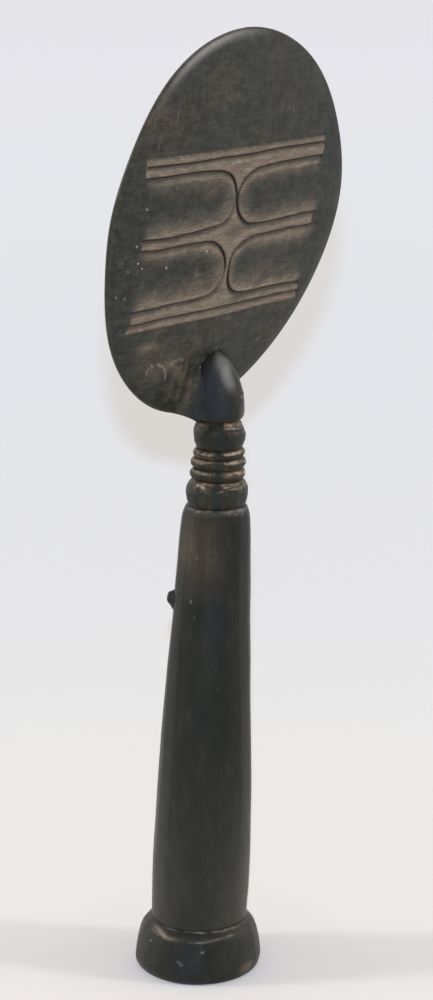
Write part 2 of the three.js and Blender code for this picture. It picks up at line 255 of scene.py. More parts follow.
def line_mark(away, height, from_turn, from_height, to_turn, to_height, thick, strength):
    """A thin rubbed line between two places, with its half thickness in mm and its strength."""
    span = to_turn - from_turn
    share = np.clip((away - from_turn) / span, 0, 1)
    seed = round(7 * from_height)
    wobble = 0.5 * thick * ripple(8 * away, 0 * away, seed)
    line = from_height + (to_height - from_height) * share + wobble
    past = np.abs(away - from_turn - share * span)
    blunt = min(0.13, 0.012 + 0.22 * abs(span))
    uneven = 0.72 + 0.42 * ripple(15 * away, height / 0.7, seed + 1)
    return strength * bell(height - line, thick) * bell(past, blunt) * uneven


def add_wear(masks, turn, height, marks, patches):
    """Adds the lines and patches of two tables. A patch is its strength and then its place."""
    away = from_camera(turn)
    for mask, rows in marks.items():
        masks[mask] = masks.get(mask, 0) + sum(line_mark(away, height, *row) for row in rows)
    for mask, rows in patches.items():
        more = sum(strength * patch(turn, height, *place) for strength, *place in rows)
        masks[mask] = masks.get(mask, 0) + more


# %% [markdown]
# ## Foot
#
# A low drum whose side swells and draws in to a rounded ledge, which slopes up to the torso.
# Handling has rubbed the stain off the ledge in places, mostly on the photograph's left; those
# pale marks are partly painted highlights, and the pale grey ones on the side are painted
# highlights.

# %% Foot
FOOT_TOP, FOOT_EDGE = 18.5, 15.9
FOOT_PROFILE = [
    (20, 0), (20.75, 0.25), (21.6, 1.4), (22.1, 3.2), (22.15, 5), (21.85, 7.5), (21.35, 10.2),
    (20.75, 12.6), (20.1, 14.5), (19.5, 15.6), (18.7, 16.5), (17.6, 17.5), (16.6, 18.5),
]
FOOT_MARKS = {
    "worn": [
        (-0.95, 16.9, -0.52, 15.6, 0.5, 1.3), (-1, 16.2, -0.7, 15.8, 0.3, 0.5),
        (0.5, 18, 1.3, 17.8, 0.3, 0.4),
    ],
    # Pale grey streaks and spots on the ledge and the side: painted highlights, with some scrapes.
    "grey": [
        (0.14, 15.6, 0.6, 16.3, 0.25, 0.9), (-0.12, 15.3, 0.03, 15.3, 0.22, 1),
        (-0.6, 18.2, -0.05, 18.2, 0.2, 0.8), (0.05, 18.1, 0.55, 18.1, 0.2, 0.8),
        (0.06, 12.4, 0.08, 12.4, 0.28, 1.2), (-0.33, 9, -0.29, 8.7, 0.25, 0.9),
        (-0.28, 8, -0.26, 7.9, 0.25, 0.9), (-0.95, 13.3, -0.93, 13.2, 0.25, 1),
    ],
}
FOOT_PATCHES = {
    "worn": [(0.25, 0.92, 3.8, 0.16, 1.8)],
    # A painted cool reflection low on the side towards the camera.
    "bloom": [(0.3, -0.15, 8, 0.3, 9)],
    "brown": [
        (0.9, 0.9, 3.6, 0.2, 2.2), (0.5, 0.85, 17.6, 0.35, 1.2), (0.4, -1, 17.6, 0.4, 1),
    ],
}


def carve_foot(turn, height, radius):
    edge = bell(height - FOOT_EDGE, 0.8)
    masks = {
        "worn": 0.08 * edge * (0.5 + 0.5 * ripple(4 * turn, height, 11)),
        # Paler towards the sides as the camera sees them: a painted rim highlight.
        "grey": 0.08 * np.sin(from_camera(turn)) ** 2,
        "brown": 0.25 * edge + 0.35 * ease(2, 0.5, height),
        # Painted shade where the torso meets the foot.
        "hollow": 0.1 * ease(17.6, 18.2, height),
    }
    add_wear(masks, turn, height, FOOT_MARKS, FOOT_PATCHES)
    cut = radius - facets(turn, height, 17, 0.2, 3) * ease(0, 3, height)
    chipped = 0.6 * patch(turn, height, -0.9, 0.6, 0.45, 2.2)
    return cut - chipped + 0.13 * ripple(3 * turn, height / 6, 4) * ease(0, 2, height), masks


turned("flared_foot", FOOT_PROFILE, 0.4, 240, "body_wood", "foot", carve_foot)

# %% [markdown]
# ## Torso
#
# A round post that tapers upwards, with a soft shoulder under the neck. High on its back the
# stain is rubbed to brown in a broad oval, where a thumb would hold the figure.

# %% Torso
TORSO_TOP = 167.9
TORSO_PROFILE = [
    (16.75, 18.5), (16.8, 23), (16.95, 33), (16.9, 43), (16.65, 51), (16.4, 59), (16.2, 67),
    (15.9, 75), (15.55, 85), (15.15, 94), (14.75, 103), (14.35, 112), (13.75, 121), (13.25, 129),
    (12.95, 138), (12.5, 147), (12.15, 156), (11.8, 161.5), (11.45, 164.4), (10.9, 166.1),
    (10.4, 167.3), (9.75, 167.9),
]
TORSO_MARKS = {
    # Pale grey lines on the shoulder: painted highlights.
    "grey": [(-1.05, 167.3, -0.32, 167.45, 0.25, 0.9), (0.3, 167.3, 1.05, 167.1, 0.38, 1.1)],
    "worn": [
        (0.45, 166.5, 0.95, 166.2, 0.3, 0.4), (-0.52, 152.3, -0.5, 151.6, 0.3, 1.2),
        (-0.6, 136.9, -0.59, 135.9, 0.45, 1.2), (-0.47, 130.8, -0.45, 130.8, 0.25, 0.6),
        (0.22, 106.2, 0.24, 106.2, 0.25, 0.4),
    ],
}
TORSO_PATCHES = {
    # A faint painted cool reflection down the side towards the camera, and a small one higher up.
    "bloom": [(0.08, -0.05, 80, 0.42, 75), (0.12, 0.1, 128, 0.3, 14)],
    "brown": [(0.6, -1.05, 156, 0.35, 8)],
    # Painted shade high on the side to the photograph's right.
    "hollow": [(0.25, 0.75, 156, 0.6, 9)],
}


def carve_torso(turn, height, radius):
    away = from_camera(turn)
    thumb = patch(turn, height, -0.5, 154, 0.72, 13)
    low_right = patch(turn, height, 1.15, 30, 0.5, 13)
    fibres = ripple(34 * away, height / 9, 24, 9)
    rubbed = 0.06 + 0.015 * fibres + 0.03 * ripple(12 * away, height / 5, 23)
    # Painted shade in the creases at the foot and under the neck.
    crease_shade = 0.1 * ease(0.7, 0, height - FOOT_TOP) + 0.15 * ease(0.35, 0, TORSO_TOP - height)
    masks = {
        "worn": thumb * rubbed + 0.1 * ease(165, 167, height),
        # Paler towards the sides as the camera sees them, low down: a painted rim highlight.
        "grey": (0.07 + 0.12 * np.sin(away) ** 2) * ease(95, 25, height),
        "brown": 0.75 * thumb + 0.5 * low_right * (0.8 + 0.3 * fibres)
        + 0.2 * ease(166, 167, height),
        "hollow": crease_shade,
    }
    add_wear(masks, turn, height, TORSO_MARKS, TORSO_PATCHES)
    cut = radius - facets(turn, height, 15, 0.16, 21) * ease(18, 24, height)
    cut = cut + 0.12 * ripple(2 * turn, height / 16, 22) - 0.2 * thumb
    # A little more wood was left low on the side to the photograph's right.
    fuller = 0.35 * np.clip(np.sin(away), 0, 1) * ease(18, 30, height) * ease(110, 60, height)
    return cut + fuller, masks


turned("tapered_torso", TORSO_PROFILE, 0.5, 200, "body_wood", "torso", carve_torso)

# %% [markdown]
# ## Neck
#
# Two beads with three thin rings between them. The tops of the rings are rubbed to bare wood in
# thin broken streaks, with brown stain left under them; the streaks also stand in for the lamps'
# highlights there, so they are partly painted highlight. On the side towards the camera a narrow
# flat interrupts the streaks, and a painted cool reflection lies on it.

# %% Neck beads and rings
NECK_PIECES = {
    "lower_neck_bead": [
        (9.55, 167.9), (9.9, 168.5), (10.3, 169.9), (10.55, 171.8), (10.5, 173.4), (10.05, 174.8),
        (9.2, 176.1), (8.3, 177),
    ],
    "neck_ring_lower": [
        (8.3, 177), (8.9, 177.5), (9.35, 178.4), (9.3, 179.4), (8.7, 180.3), (8.2, 180.8),
    ],
    "neck_ring_middle": [
        (8.2, 180.8), (8.85, 181.5), (9.35, 182.4), (9.2, 183.4), (8.6, 184.1), (8.1, 184.5),
    ],
    "neck_ring_upper": [(8.1, 184.5), (8.6, 185.1), (8.95, 186), (8.6, 186.9), (7.6, 187.6)],
    "upper_neck_bead": [
        (7.6, 187.6), (8.1, 188.5), (8.6, 190.1), (8.72, 191.9), (8.62, 193.6), (8.2, 195.2),
        (7.5, 196.6), (6.8, 197.5),
    ],
}
NECK_MARKS = {
    "brown": [
        (0.2, 196.7, 1.2, 196.4, 0.6, 1), (0.1, 187.4, 1.3, 187.3, 0.3, 1),
        (-1.3, 185.6, -0.3, 185.6, 0.4, 0.9), (-1.4, 183.2, -0.2, 183.3, 0.5, 0.6),
        (0.25, 181.7, 1.1, 181.2, 0.45, 0.85), (0.3, 179.3, 1.1, 178.9, 0.35, 1),
        (-0.9, 176.9, -0.15, 176.9, 0.25, 0.9), (0.3, 176.9, 1.2, 176.8, 0.2, 0.6),
    ],
    "worn": [
        (0.3, 196.6, 1.15, 196.3, 0.5, 0.42), (0.22, 195.8, 0.6, 195.4, 0.22, 0.75),
        (-1.1, 196.2, -0.8, 196.2, 0.5, 0.2), (-0.06, 193.8, 0.08, 193.9, 0.3, 0.2),
        (0.24, 186.9, 0.8, 186.8, 0.35, 0.85), (0.75, 187, 1.5, 186.6, 0.4, 0.8),
        (-1.5, 186.7, -0.42, 186.8, 0.42, 0.45), (-1.3, 187.1, -0.7, 186.6, 0.16, 0.4),
        (-1.5, 184, -0.75, 183.7, 0.3, 0.55), (-0.95, 184.2, -0.14, 184.1, 0.26, 0.75),
        (0.02, 184, 0.7, 183.8, 0.34, 0.85), (0.6, 183.8, 1.5, 183.3, 0.34, 0.75),
        (-1.5, 180.3, -0.8, 179.9, 0.26, 0.6), (-0.85, 180.3, -0.2, 180.1, 0.3, 0.5),
        (0.22, 180.1, 0.85, 179.9, 0.34, 0.8), (0.8, 180, 1.5, 179.4, 0.4, 0.95),
        (-0.78, 175.9, -0.52, 175.8, 0.42, 1.1), (-0.55, 176.5, -0.14, 176.4, 0.26, 0.75),
        (0.22, 176.5, 1.2, 176.1, 0.26, 0.7), (0.3, 175.7, 1.35, 175.3, 0.2, 0.6),
        (0.5, 175, 1.1, 174.8, 0.2, 0.5), (0, 174, 0.14, 174.4, 0.14, 1.3),
    ],
    # A pale grey streak on the top bead: a painted highlight.
    "grey": [(0.55, 195.3, 1, 195, 0.2, 0.8)],
    # Thin lines of painted shade under two bead edges.
    "hollow": [(0.28, 194.9, 1.05, 194.4, 0.22, 0.9), (0.28, 174.2, 1, 173.9, 0.25, 0.9)],
}


def carve_neck(turn, height, radius):
    low, high = height[0, 0], height[-1, 0]
    away = from_camera(turn)
    flat = np.exp(-(((away - 0.02) / 0.17) ** 4))
    seed = round(10 * low)
    top = ease(0.5, 0.8, (height - low) / (high - low))
    to_groove = np.minimum(height - low, high - height)
    low_crease = 0.8 if low > 170 else 0.15
    masks = {
        # Paler towards each ring's top: partly wear, partly painted highlight.
        "worn": 0.16 * top * (0.6 + 0.5 * ripple(7 * turn, height, seed)),
        "brown": 0.35 * ease(0.6, 0.1, to_groove) + 0.08 * ripple(3 * turn, height, seed + 3),
        # Painted shade, with some grime, at the grooves between the pieces.
        "hollow": low_crease * ease(0.34, 0, height - low) + 0.8 * ease(0.24, 0, high - height),
    }
    # The far side, which the photograph doesn't show, is rubbed much like the near one.
    add_wear(masks, turn, height, NECK_MARKS, {})
    add_wear(masks, math.pi - turn + 2 * FACING, height - 0.1, NECK_MARKS, {})
    # On the flat that faces the camera the streaks are mostly left out and a painted cool
    # reflection is laid on.
    masks["worn"] = masks["worn"] * (1 - 0.8 * flat)
    masks["brown"] = np.clip(masks["brown"], 0, 1) * (1 - 0.9 * flat)
    masks["bloom"] = 0.12 * flat
    cut = radius - 0.25 * flat - facets(turn, height, 13, 0.12, seed)
    cut = cut + 0.12 * ripple(2 * turn, height / 2, seed + 5)
    cut = cut + 0.05 * ripple(9 * turn, height / 0.6, seed + 6)
    # The crown of the top bead leans a little to the photograph's left.
    return cut - 0.6 * np.sin(away) * ease(191.5, 195.5, height), masks


for node, profile in NECK_PIECES.items():
    turned(f"carved_{node}", profile, 0.2, 220, "neck_wood", node, carve_neck)

# %% [markdown]
# ## The head disc's form
#
# The disc is a plate with an egg outline, crowned across its back and curved along its height.
# `on_disc` lays a point on it: across, up along the curve from its middle, and out of its back.
# Rows of points run straight across, so the straight cuts of the carving fall on them, and the
# points lie closest together where the carving is.

# %% The disc's form
HALF_WIDTH, UPPER_HEIGHT, LOWER_HEIGHT = 55.3, 61.7, 71.7
OVAL_POWER = 1.93
TIP_Y, TIP_Z = -5.4, 199.6
TIP_LEAN, CURVE_RADIUS, CROWN = math.radians(20.6), 461, 2.9
THICKNESS, RIM_THICKNESS, RIM_BAND, RIM_FALL = 6.8, 2.2, 5, 0.6
HAND_CUT = 0.9988
HAND_CUT_WAVES = [
    (-0.0183, 0.0003), (-0.0038, -0.0012), (-0.0169, -0.0035), (0.0027, 0.0009),
    (-0.0009, -0.0044), (0.0026, 0.0016), (0.0001, 0.0018), (0.0016, 0.0004),
]


def on_disc(across, along, out):
    """A point `out` of the disc's back, as x, y and z."""
    lean = TIP_LEAN - (along + LOWER_HEIGHT) / CURVE_RADIUS
    crown = CROWN * (1 - (across / HALF_WIDTH) ** 2)
    back = TIP_Y + CURVE_RADIUS * (np.cos(lean) - math.cos(TIP_LEAN)) + crown
    up = TIP_Z + CURVE_RADIUS * (math.sin(TIP_LEAN) - np.sin(lean))
    return np.stack([across + 0 * lean, back + out * np.cos(lean), up - out * np.sin(lean)], -1)


def reach(angle):
    """From the disc's middle to its outline: an even oval, with the long waves of a hand cut."""
    half_height = np.where(np.sin(angle) > 0, UPPER_HEIGHT, LOWER_HEIGHT)
    part = np.abs(np.cos(angle) / HALF_WIDTH) ** OVAL_POWER
    part = part + np.abs(np.sin(angle) / half_height) ** OVAL_POWER
    hand = HAND_CUT
    for i, (cosine, sine) in enumerate(HAND_CUT_WAVES, 1):
        hand = hand + cosine * np.cos(i * angle) + sine * np.sin(i * angle)
    return part ** (-1 / OVAL_POWER) * hand


def way_to_rim(across, along):
    """0 in the disc's middle and 1 at its outline."""
    return np.hypot(across, along) / reach(np.arctan2(along, across))


round_turns = np.linspace(-math.pi, math.pi, 3601)
outline = np.stack([np.cos(round_turns), np.sin(round_turns)], -1) * reach(round_turns)[:, None]
top_at, low_at = outline[:, 1].argmax(), outline[:, 1].argmin()
LEFT_SIDE = outline[low_at:top_at + 1]
RIGHT_SIDE = np.vstack([outline[top_at:-1], outline[:low_at + 1]])[::-1]
TOP_TIP, LOW_TIP = outline[top_at], outline[low_at]


def inside_rim(across, along):
    """Distance in mm to the outline, near enough close to it."""
    step = 0.01
    share = way_to_rim(across, along)
    slope_x = (way_to_rim(across + step, along) - way_to_rim(across - step, along)) / (2 * step)
    slope_y = (way_to_rim(across, along + step) - way_to_rim(across, along - step)) / (2 * step)
    return (1 - share) / np.maximum(np.hypot(slope_x, slope_y), 1e-3)


def rim_fall(share):
    band = RIM_BAND / HALF_WIDTH
    return RIM_FALL * np.clip((share - 1 + band) / band, 0, 1) ** 2


def front_depth(share):
    swell = THICKNESS - RIM_THICKNESS - RIM_FALL
    return THICKNESS - swell * share**2 - rim_fall(share)


# %% [markdown]
# ## The carved panel
#
# Four long lobes open to the two sides of the disc, and strips run between them. Each cut is a
# slanted pair: its upper wall is steep and its lower wall slopes gently up to the next crest. The
# lobes are dished and fade into the disc at their open ends. Every line is drawn through points
# in millimetres on the disc, with the small unevenness of the carver's hand.

# %% The panel's lines
LOBES = {
    "upper_left": [
        (62, 17), (42, 16.7), (34, 16.5), (26, 16.7), (18, 16.7), (10, 16.1), (6.1, 15.1),
        (4.3, 14.2), (2.8, 12.9), (1.7, 11.2), (0.8, 9.3), (0.3, 7.5), (0.3, 5.2), (1, 2.5),
        (2.3, 0.1), (3.9, -1.4), (6.2, -2.5), (13.6, -3.4), (21.6, -4), (30, -4.4), (39.6, -4.1),
        (62, -4),
    ],
    "upper_right": [
        (-62, 15.7), (-42.5, 15.8), (-34.5, 16), (-26.5, 15.9), (-18.5, 15.8), (-10.5, 15.2),
        (-6.5, 14.4), (-3, 12.4), (-1.8, 10.9), (-0.9, 9.1), (-0.3, 7.1), (-0.3, 5.1), (-0.8, 3.1),
        (-1.6, 1.3), (-2.9, -0.5), (-4.8, -2.3), (-7.4, -3.7), (-11.6, -4.2), (-19.6, -4.3),
        (-27.6, -4.1), (-35.6, -3.8), (-43.1, -4), (-62, -4),
    ],
    "lower_left": [
        (62, -7.4), (41.2, -7.6), (33.2, -8), (25.2, -7.8), (17.2, -7.6), (9.2, -8), (5.5, -9.6),
        (4, -10.8), (2.6, -12.3), (1.5, -13.9), (0.7, -16), (0.3, -18.8), (0.9, -21.7),
        (1.8, -23.5), (3, -25), (4.5, -26.3), (6.8, -27.3), (14.3, -28), (22.3, -28.2),
        (30.3, -28.6), (40.8, -28.9), (62, -29),
    ],
    "lower_right": [
        (-62, -9), (-44.1, -8.4), (-36.1, -8.3), (-28.1, -8.2), (-20.1, -8.4), (-12.1, -8.6),
        (-8.1, -9.3), (-4.7, -10.9), (-2.9, -12.3), (-1.9, -14), (-1.4, -16.2), (-1.5, -19.9),
        (-2.2, -23), (-3.8, -25.8), (-6.2, -27.5), (-9.5, -28.4), (-17.1, -28.8), (-25.1, -28.8),
        (-33.1, -28.8), (-40.1, -29.1), (-62, -29.2),
    ],
}
STRIP_LINES = {
    "top_edge": [
        (62, 23.2), (42.2, 22.95), (22.4, 22.95), (1.7, 22.75), (-20.1, 22.65), (-42.7, 22.5),
        (-62, 22.5),
    ],
    "top_groove": [
        (62, 20.5), (42, 20.4), (26, 20.2), (10, 20.3), (-6, 20.4), (-22, 20.7), (-42.3, 20.3),
        (-62, 20.2),
    ],
    "bottom_groove": [
        (62, -33.7), (40, -33.4), (24, -32.9), (8, -32.7), (-8, -32.4), (-24, -32.3), (-62, -32.3),
    ],
    "bottom_edge": [(62, -36.4), (40.7, -36.05), (2.5, -35.55), (-42.2, -35.05), (-62, -34.9)],
}
# Where the carving ends, from the top strip down: along, left end, right end.
PANEL_ENDS = np.array([
    (24, 42.3, 42.6), (16.5, 42.6, 42.4), (14.5, 42.2, 42.3), (3, 41.5, 43.4), (-2, 41, 44.2),
    (-4.1, 40.1, 42.9), (-5, 40, 41.3), (-7.6, 40.8, 41.4), (-8.6, 41.2, 45.7), (-12, 42, 44),
    (-26, 41.5, 41.5), (-28.8, 40.4, 40.2), (-31, 39.8, 41.1), (-33.4, 40.2, 41.2),
    (-36, 41.1, 41.4),
])


def line_height(line, across):
    """How high a strip's line runs at each place across the disc."""
    points = smooth_line(STRIP_LINES[line], 1)[::-1]
    wobble = 0.07 * ripple(across / 4, 0 * across, len(line))
    wobble = wobble + 0.04 * ripple(across / 1.6, 0 * across, 7)
    return np.interp(across, points[:, 0], points[:, 1]) + wobble


def lobe_distance(lobe, across, along):
    """Distance to a lobe's outline, positive inside it, and which way the line lies: 1 is up."""
    outline = smooth_line(LOBES[lobe], 0.5)
    best, rise = np.full(across.shape, 1e9), np.zeros(across.shape)
    inside = np.zeros(across.shape, bool)
    for (x, y), (dx, dy) in zip(outline, np.roll(outline, -1, 0) - outline):
        t = np.clip(((across - x) * dx + (along - y) * dy) / (dx * dx + dy * dy), 0, 1)
        to_x, to_y = x + t * dx - across, y + t * dy - along
        square = to_x**2 + to_y**2
        rise = np.where(square < best, to_y, rise)
        best = np.minimum(square, best)
        crosses = (y > along) != (y + dy > along)
        inside ^= crosses & (across < x + (along - y) * dx / (dy or 1.0))
    distance = np.sqrt(best)
    return np.where(inside, distance, -distance), rise / np.maximum(distance, 1e-6)


# %% [markdown]
# `panel_relief` turns those lines into heights and masks. A crest stands above each cut, and a
# slope rises to the next crest below it, so from the top down each line reads as pale, then dark,
# then brown, then pale again; the dark is painted shade at the bottom of the cut. The distance to
# the nearest cut is kept as well, because the finish draws that painted shade thinner than the
# points lie apart.

# %% The panel's heights and masks
CUT_DEPTH, CREST, DISH_DEPTH = 0.62, 0.14, 0.55
STEEP_WALL, GENTLE_WALL = 0.34, 1.6
FAR_OFF = -9.0  # the distance to a cut where there is none near
LOBES_MIDDLE, LOBES_REACH = -6.5, 25  # up the disc, the strips lie further out than this
# How far each lobe's worn rim reaches in mm: at its top, its nose and its bottom.
RIM_REACH = {
    "upper_left": (3.9, 6.6, 4.9), "upper_right": (3.8, 5.2, 4.6),
    "lower_left": (4.2, 5.6, 6.2), "lower_right": (4.9, 4.2, 7.0),
}
# Rubbed or brown places: across, along, half width, half height, more worn, more brown. The
# blots that take wear away just beside the right lobes' noses are painted shade of deeper gouges.
BLOTS = [
    (0, -5.5, 3.6, 4.2, -0.4, 0.25), (0, 17.5, 6, 1.3, -0.28, 0.4), (0, 13.5, 2, 2, -0.15, 0.2),
    (0, -27.5, 3.5, 3, -0.26, 0.1), (-11, -30.2, 7, 1.2, -0.3, 0.2),
    (-5, -24.5, 2.6, 2.2, -0.12, 0.1), (24, 10.5, 13, 2.2, -0.1, 0.8), (12, 10, 5, 3, 0.1, 0.6),
    (28, -1, 10, 1.6, 0, 0.5), (4.2, 6, 2.2, 5, 0.12, 0), (-25, 11, 13, 1.6, 0, 0.5),
    (-40, -1.6, 5, 2.4, 0.16, 0.6), (-36, 13.6, 7, 0.6, 0.35, 0), (-11, 12.2, 3.5, 1.5, 0.1, 0.5),
    (-16, 4, 5, 4, -0.1, 0.35), (-29, -11, 13, 1.9, 0.18, 0.7), (-20, -21, 8, 3, 0, 0.6),
    (-27, -16.5, 8, 2.2, 0, 0.3), (30, -25, 10, 2, 0.05, 0.5), (12, -23, 4, 4, 0.1, 0.6),
    (13, -18.5, 0.9, 1.9, 0.25, 0), (34, -26.5, 6, 1, 0.15, 0.2), (-36, -26.6, 6, 1.4, 0.12, 0.6),
    (8, -11.5, 3, 1.6, 0.15, 0), (-5.5, -4.9, 3.5, 1.5, -0.36, 0.4),
    (-7.5, -30, 4, 1.5, -0.25, 0.1), (-6, 8, 3, 4, -0.12, 0.1), (-7, -17, 3, 4.5, -0.12, 0.1),
    (8, 6.5, 4, 4, -0.08, 0.1),
]


def rub(worn, brown, blots, across, along):
    """Worn and brown wood with soft round blots added."""
    for x, y, half_x, half_y, more_worn, more_brown in blots:
        blot = np.exp(-(((across - x) / half_x) ** 2 + ((along - y) / half_y) ** 2) ** 1.3)
        worn, brown = worn + more_worn * blot, brown + more_brown * blot
    return worn, brown


# %% Cutting the grooves and the lobes
def cut_groove(panel, under, outwards):
    """Cuts one straight groove. `under` is how far a point lies below its line."""
    height, worn, brown, cut_way = panel
    gentle = under > 0
    lift = ease(0, 1, np.abs(under) / np.where(gentle, GENTLE_WALL, STEEP_WALL))
    height = np.minimum(height, -CUT_DEPTH + (CUT_DEPTH + CREST) * lift)
    slope = 0.16 + 0.84 * ease(0.3, 1.7, under)
    worn = worn * np.where(gentle, slope, ease(-0.1, 0.5, -under))
    brown = np.maximum(brown, gentle * ease(1.7, 0.5, under))
    signed = under * outwards
    return height, worn, brown, np.where(np.abs(signed) < np.abs(cut_way), signed, cut_way)


def cut_lobe(panel, name, across, along, fade):
    """Cuts round one lobe, dishes it and rubs its rim."""
    height, worn, brown, cut_way = panel
    distance, upward = lobe_distance(name, across, along)
    inside = distance > 0
    under, over = ease(0.3, 0.9, upward), ease(0.3, 0.9, -upward)
    gentle = ease(-0.2, 0.9, upward)
    lift = ease(0, 1, np.abs(distance) / (STEEP_WALL + 1.35 * gentle))
    low = -CUT_DEPTH - 0.15 * (name == "lower_right") * over
    cut = low + (CREST - low) * lift
    dish = ease(0.6, 7.5, distance) * (0.35 + 0.65 * ease(37, 20, np.abs(across))) * DISH_DEPTH
    lobe_height = cut - CREST * (1 - fade) * ease(0.8, 3, distance) - dish * fade
    height = np.where(inside, lobe_height, np.minimum(height, cut))

    at_top, at_nose, at_bottom = RIM_REACH[name]
    wide = under * at_top + over * at_bottom + (1 - under - over) * at_nose
    uneven = 0.85 + 0.25 * ripple(across / 3.4, along / 1.7, 31)
    uneven = uneven + 0.12 * ripple(across / 1.2, along / 0.7, 32)
    crest = np.exp(-np.maximum(distance - 1.2 - 0.9 * under, 0) / 0.9)
    tone = (0.12 + 0.36 * under + 0.40 * over) * crest + 0.46 * bell(distance, wide) * uneven
    tone = tone * (0.1 + 0.9 * ease(0.1 + 0.3 * under, 0.7 + 1.6 * under, distance))
    slope = 0.14 + 0.86 * ease(0.5, 2.2, -distance)
    strip = worn * np.where(upward > 0, 1 + (slope - 1) * under, ease(-0.1, 0.45, -distance))
    worn = np.where(inside, tone * (0.35 + 0.65 * fade), strip)
    on_slope = ease(2.3, 0.6, np.abs(distance)) * gentle
    lobe_brown = 0.75 * on_slope + 0.25 * np.exp(-distance / 3)
    brown = np.where(inside, lobe_brown, np.maximum(brown, on_slope))
    nearer = np.abs(distance) < np.abs(cut_way)
    return height, worn, brown, np.where(inside | nearer, distance, cut_way)


# %% The whole panel
def panel_relief(across, along):
    """Height out of the disc's back, worn, brown, painted shade and the way to the nearest cut."""
    left, right = (np.interp(-along, -PANEL_ENDS[:, 0], ends) for ends in PANEL_ENDS.T[1:])
    ragged = 0.3 * ripple(0 * across, along / 0.9, 34)
    past_end = np.abs(across) + ragged - np.where(across > 0, left, right)
    lines = {name: line_height(name, across) for name in STRIP_LINES}
    below_top = lines["top_edge"] - along
    above_bottom = along - lines["bottom_edge"]

    worn = 0.9 * (0.93 + 0.07 * ripple(across / 6, along / 0.8, 33))
    panel = (np.full(across.shape, value) for value in (CREST, worn, 0.3, FAR_OFF))
    for name, outwards in (("top_groove", -1), ("bottom_groove", 1)):
        panel = cut_groove(panel, lines[name] - along, outwards)
    height, worn, brown, cut_way = panel
    worn = worn * (0.55 + 0.45 * ease(-0.1, 1.5, below_top))
    panel = height, worn * (0.6 + 0.4 * ease(0, 0.7, above_bottom)), brown, cut_way
    for name in LOBES:
        panel = cut_lobe(panel, name, across, along, ease(43, 31, np.abs(across)))
    height, worn, brown, cut_way = panel
    worn, brown = rub(worn, brown, BLOTS, across, along)

    # The panel's edges: the strips end in short walls, and the lobes run out.
    within = ease(0.35, -0.15, past_end) * ease(-0.35, 0.35, below_top)
    within = within * ease(-0.3, 0.2, above_bottom)
    in_strip = (cut_way < 0) | (np.abs(along - LOBES_MIDDLE) > LOBES_REACH)
    end_wall = bell(past_end, 0.45) * in_strip * (below_top > 0) * (above_bottom > 0)
    edge = np.exp(-((below_top + 0.35) ** 2) / 0.3)
    edge = edge + 0.6 * np.exp(-((above_bottom + 0.25) ** 2) / 0.12)
    height = height * within - 0.22 * edge * ease(0.3, -0.3, past_end)
    height = height - 0.18 * end_wall * ease(-0.2, 0.4, past_end)
    worn = np.clip(worn, 0, 1) * within * ease(0.6, -0.6 - 2.4 * ~in_strip, past_end)
    brown = np.clip(brown, 0, 1) * ease(1, -1, past_end)
    soft = ease(0.8, -1.2, past_end) * ease(-0.5, 0.1, below_top) * ease(-0.4, 0.1, above_bottom)
    # Painted shade in the cuts and against the strips' end walls.
    hollow = np.maximum(bell(cut_way, 0.85) * soft, 0.45 * end_wall * ease(-0.3, 0.3, past_end))
    return height, worn, brown, hollow, cut_way


# %% [markdown]
# ## The flare at the boss
#
# Low on its back the disc runs out into the boss that carries it. The carver left a hollow
# quarter round of wood there. Added to the boss it would look like a fin, so it is a swelling of
# the disc's own back, and the boss stands in it.

# %% The flare at the boss
BOSS_BASE = 197.5
BOSS_PROFILE = [
    (6.9, 197.5), (7.8, 197.9), (8.15, 199), (8.25, 201), (8.15, 204), (7.85, 207.5), (7.35, 211),
    (6.6, 214.6), (5.65, 217.2), (4.3, 219.2), (2.4, 220.7), (0.3, 221.3),
]
# The boss straightens and then leans forward over the disc: heights, across, back.
BOSS_LEAN = [197.2, 206, 211, 215, 221.5], [0, 0, 0.7, 1.5, 2.1], [0, -0.6, -1.4, -2.3, -3.3]
BOSS_LINE = smooth_line(BOSS_PROFILE, 0.3)
FLARE = 8


def boss_middle(height):
    """Where the boss's middle is at a height."""
    heights, across, back = BOSS_LEAN
    x, y = column_axis(height)
    return x + np.interp(height, heights, across), y + np.interp(height, heights, back)


def boss_flare(across, along):
    """How far the disc's back swells to meet the boss's side: a concave quarter round."""
    x, y, z = np.moveaxis(on_disc(across, along, 0 * across), -1, 0)
    middle_x, middle_y = boss_middle(z)
    radius = np.interp(z, BOSS_LINE[:, 1], BOSS_LINE[:, 0])
    wide = FLARE * ease(217, 208, z) + 1e-6
    touch = np.arcsin(np.clip((wide - middle_y + y) / (radius + wide), -1, 1))
    inward = (radius + wide) * np.cos(touch) - np.abs(x - middle_x)
    return wide - np.sqrt(wide**2 - np.clip(inward, 0, wide * np.cos(touch)) ** 2)


# %% [markdown]
# ## The head disc
#
# The real disc is a plate, rounded at its rim and scraped smooth, with the panel cut in. Its back
# is one sheet of points with the panel's relief, the flare and the rim's rounding added, and its
# front is a coarser sheet. A ring of points joins the two round the rim.

# %% The disc's back
PANEL_LOW, PANEL_HIGH, PANEL_SIDE = -37, 25, 47
PANEL_ROWS = 172
ROUND_BACK, ROUND_FRONT = 0.55, 0.45

low = LOW_TIP[1] + (PANEL_LOW - LOW_TIP[1]) * np.linspace(0, 1, 58) ** 1.5
high = TOP_TIP[1] + (PANEL_HIGH - TOP_TIP[1]) * np.linspace(0, 1, 44) ** 1.6
on_panel = np.linspace(PANEL_LOW, PANEL_HIGH, PANEL_ROWS)
rows = np.concatenate([low[1:-1], on_panel, high[1:-1][::-1]])


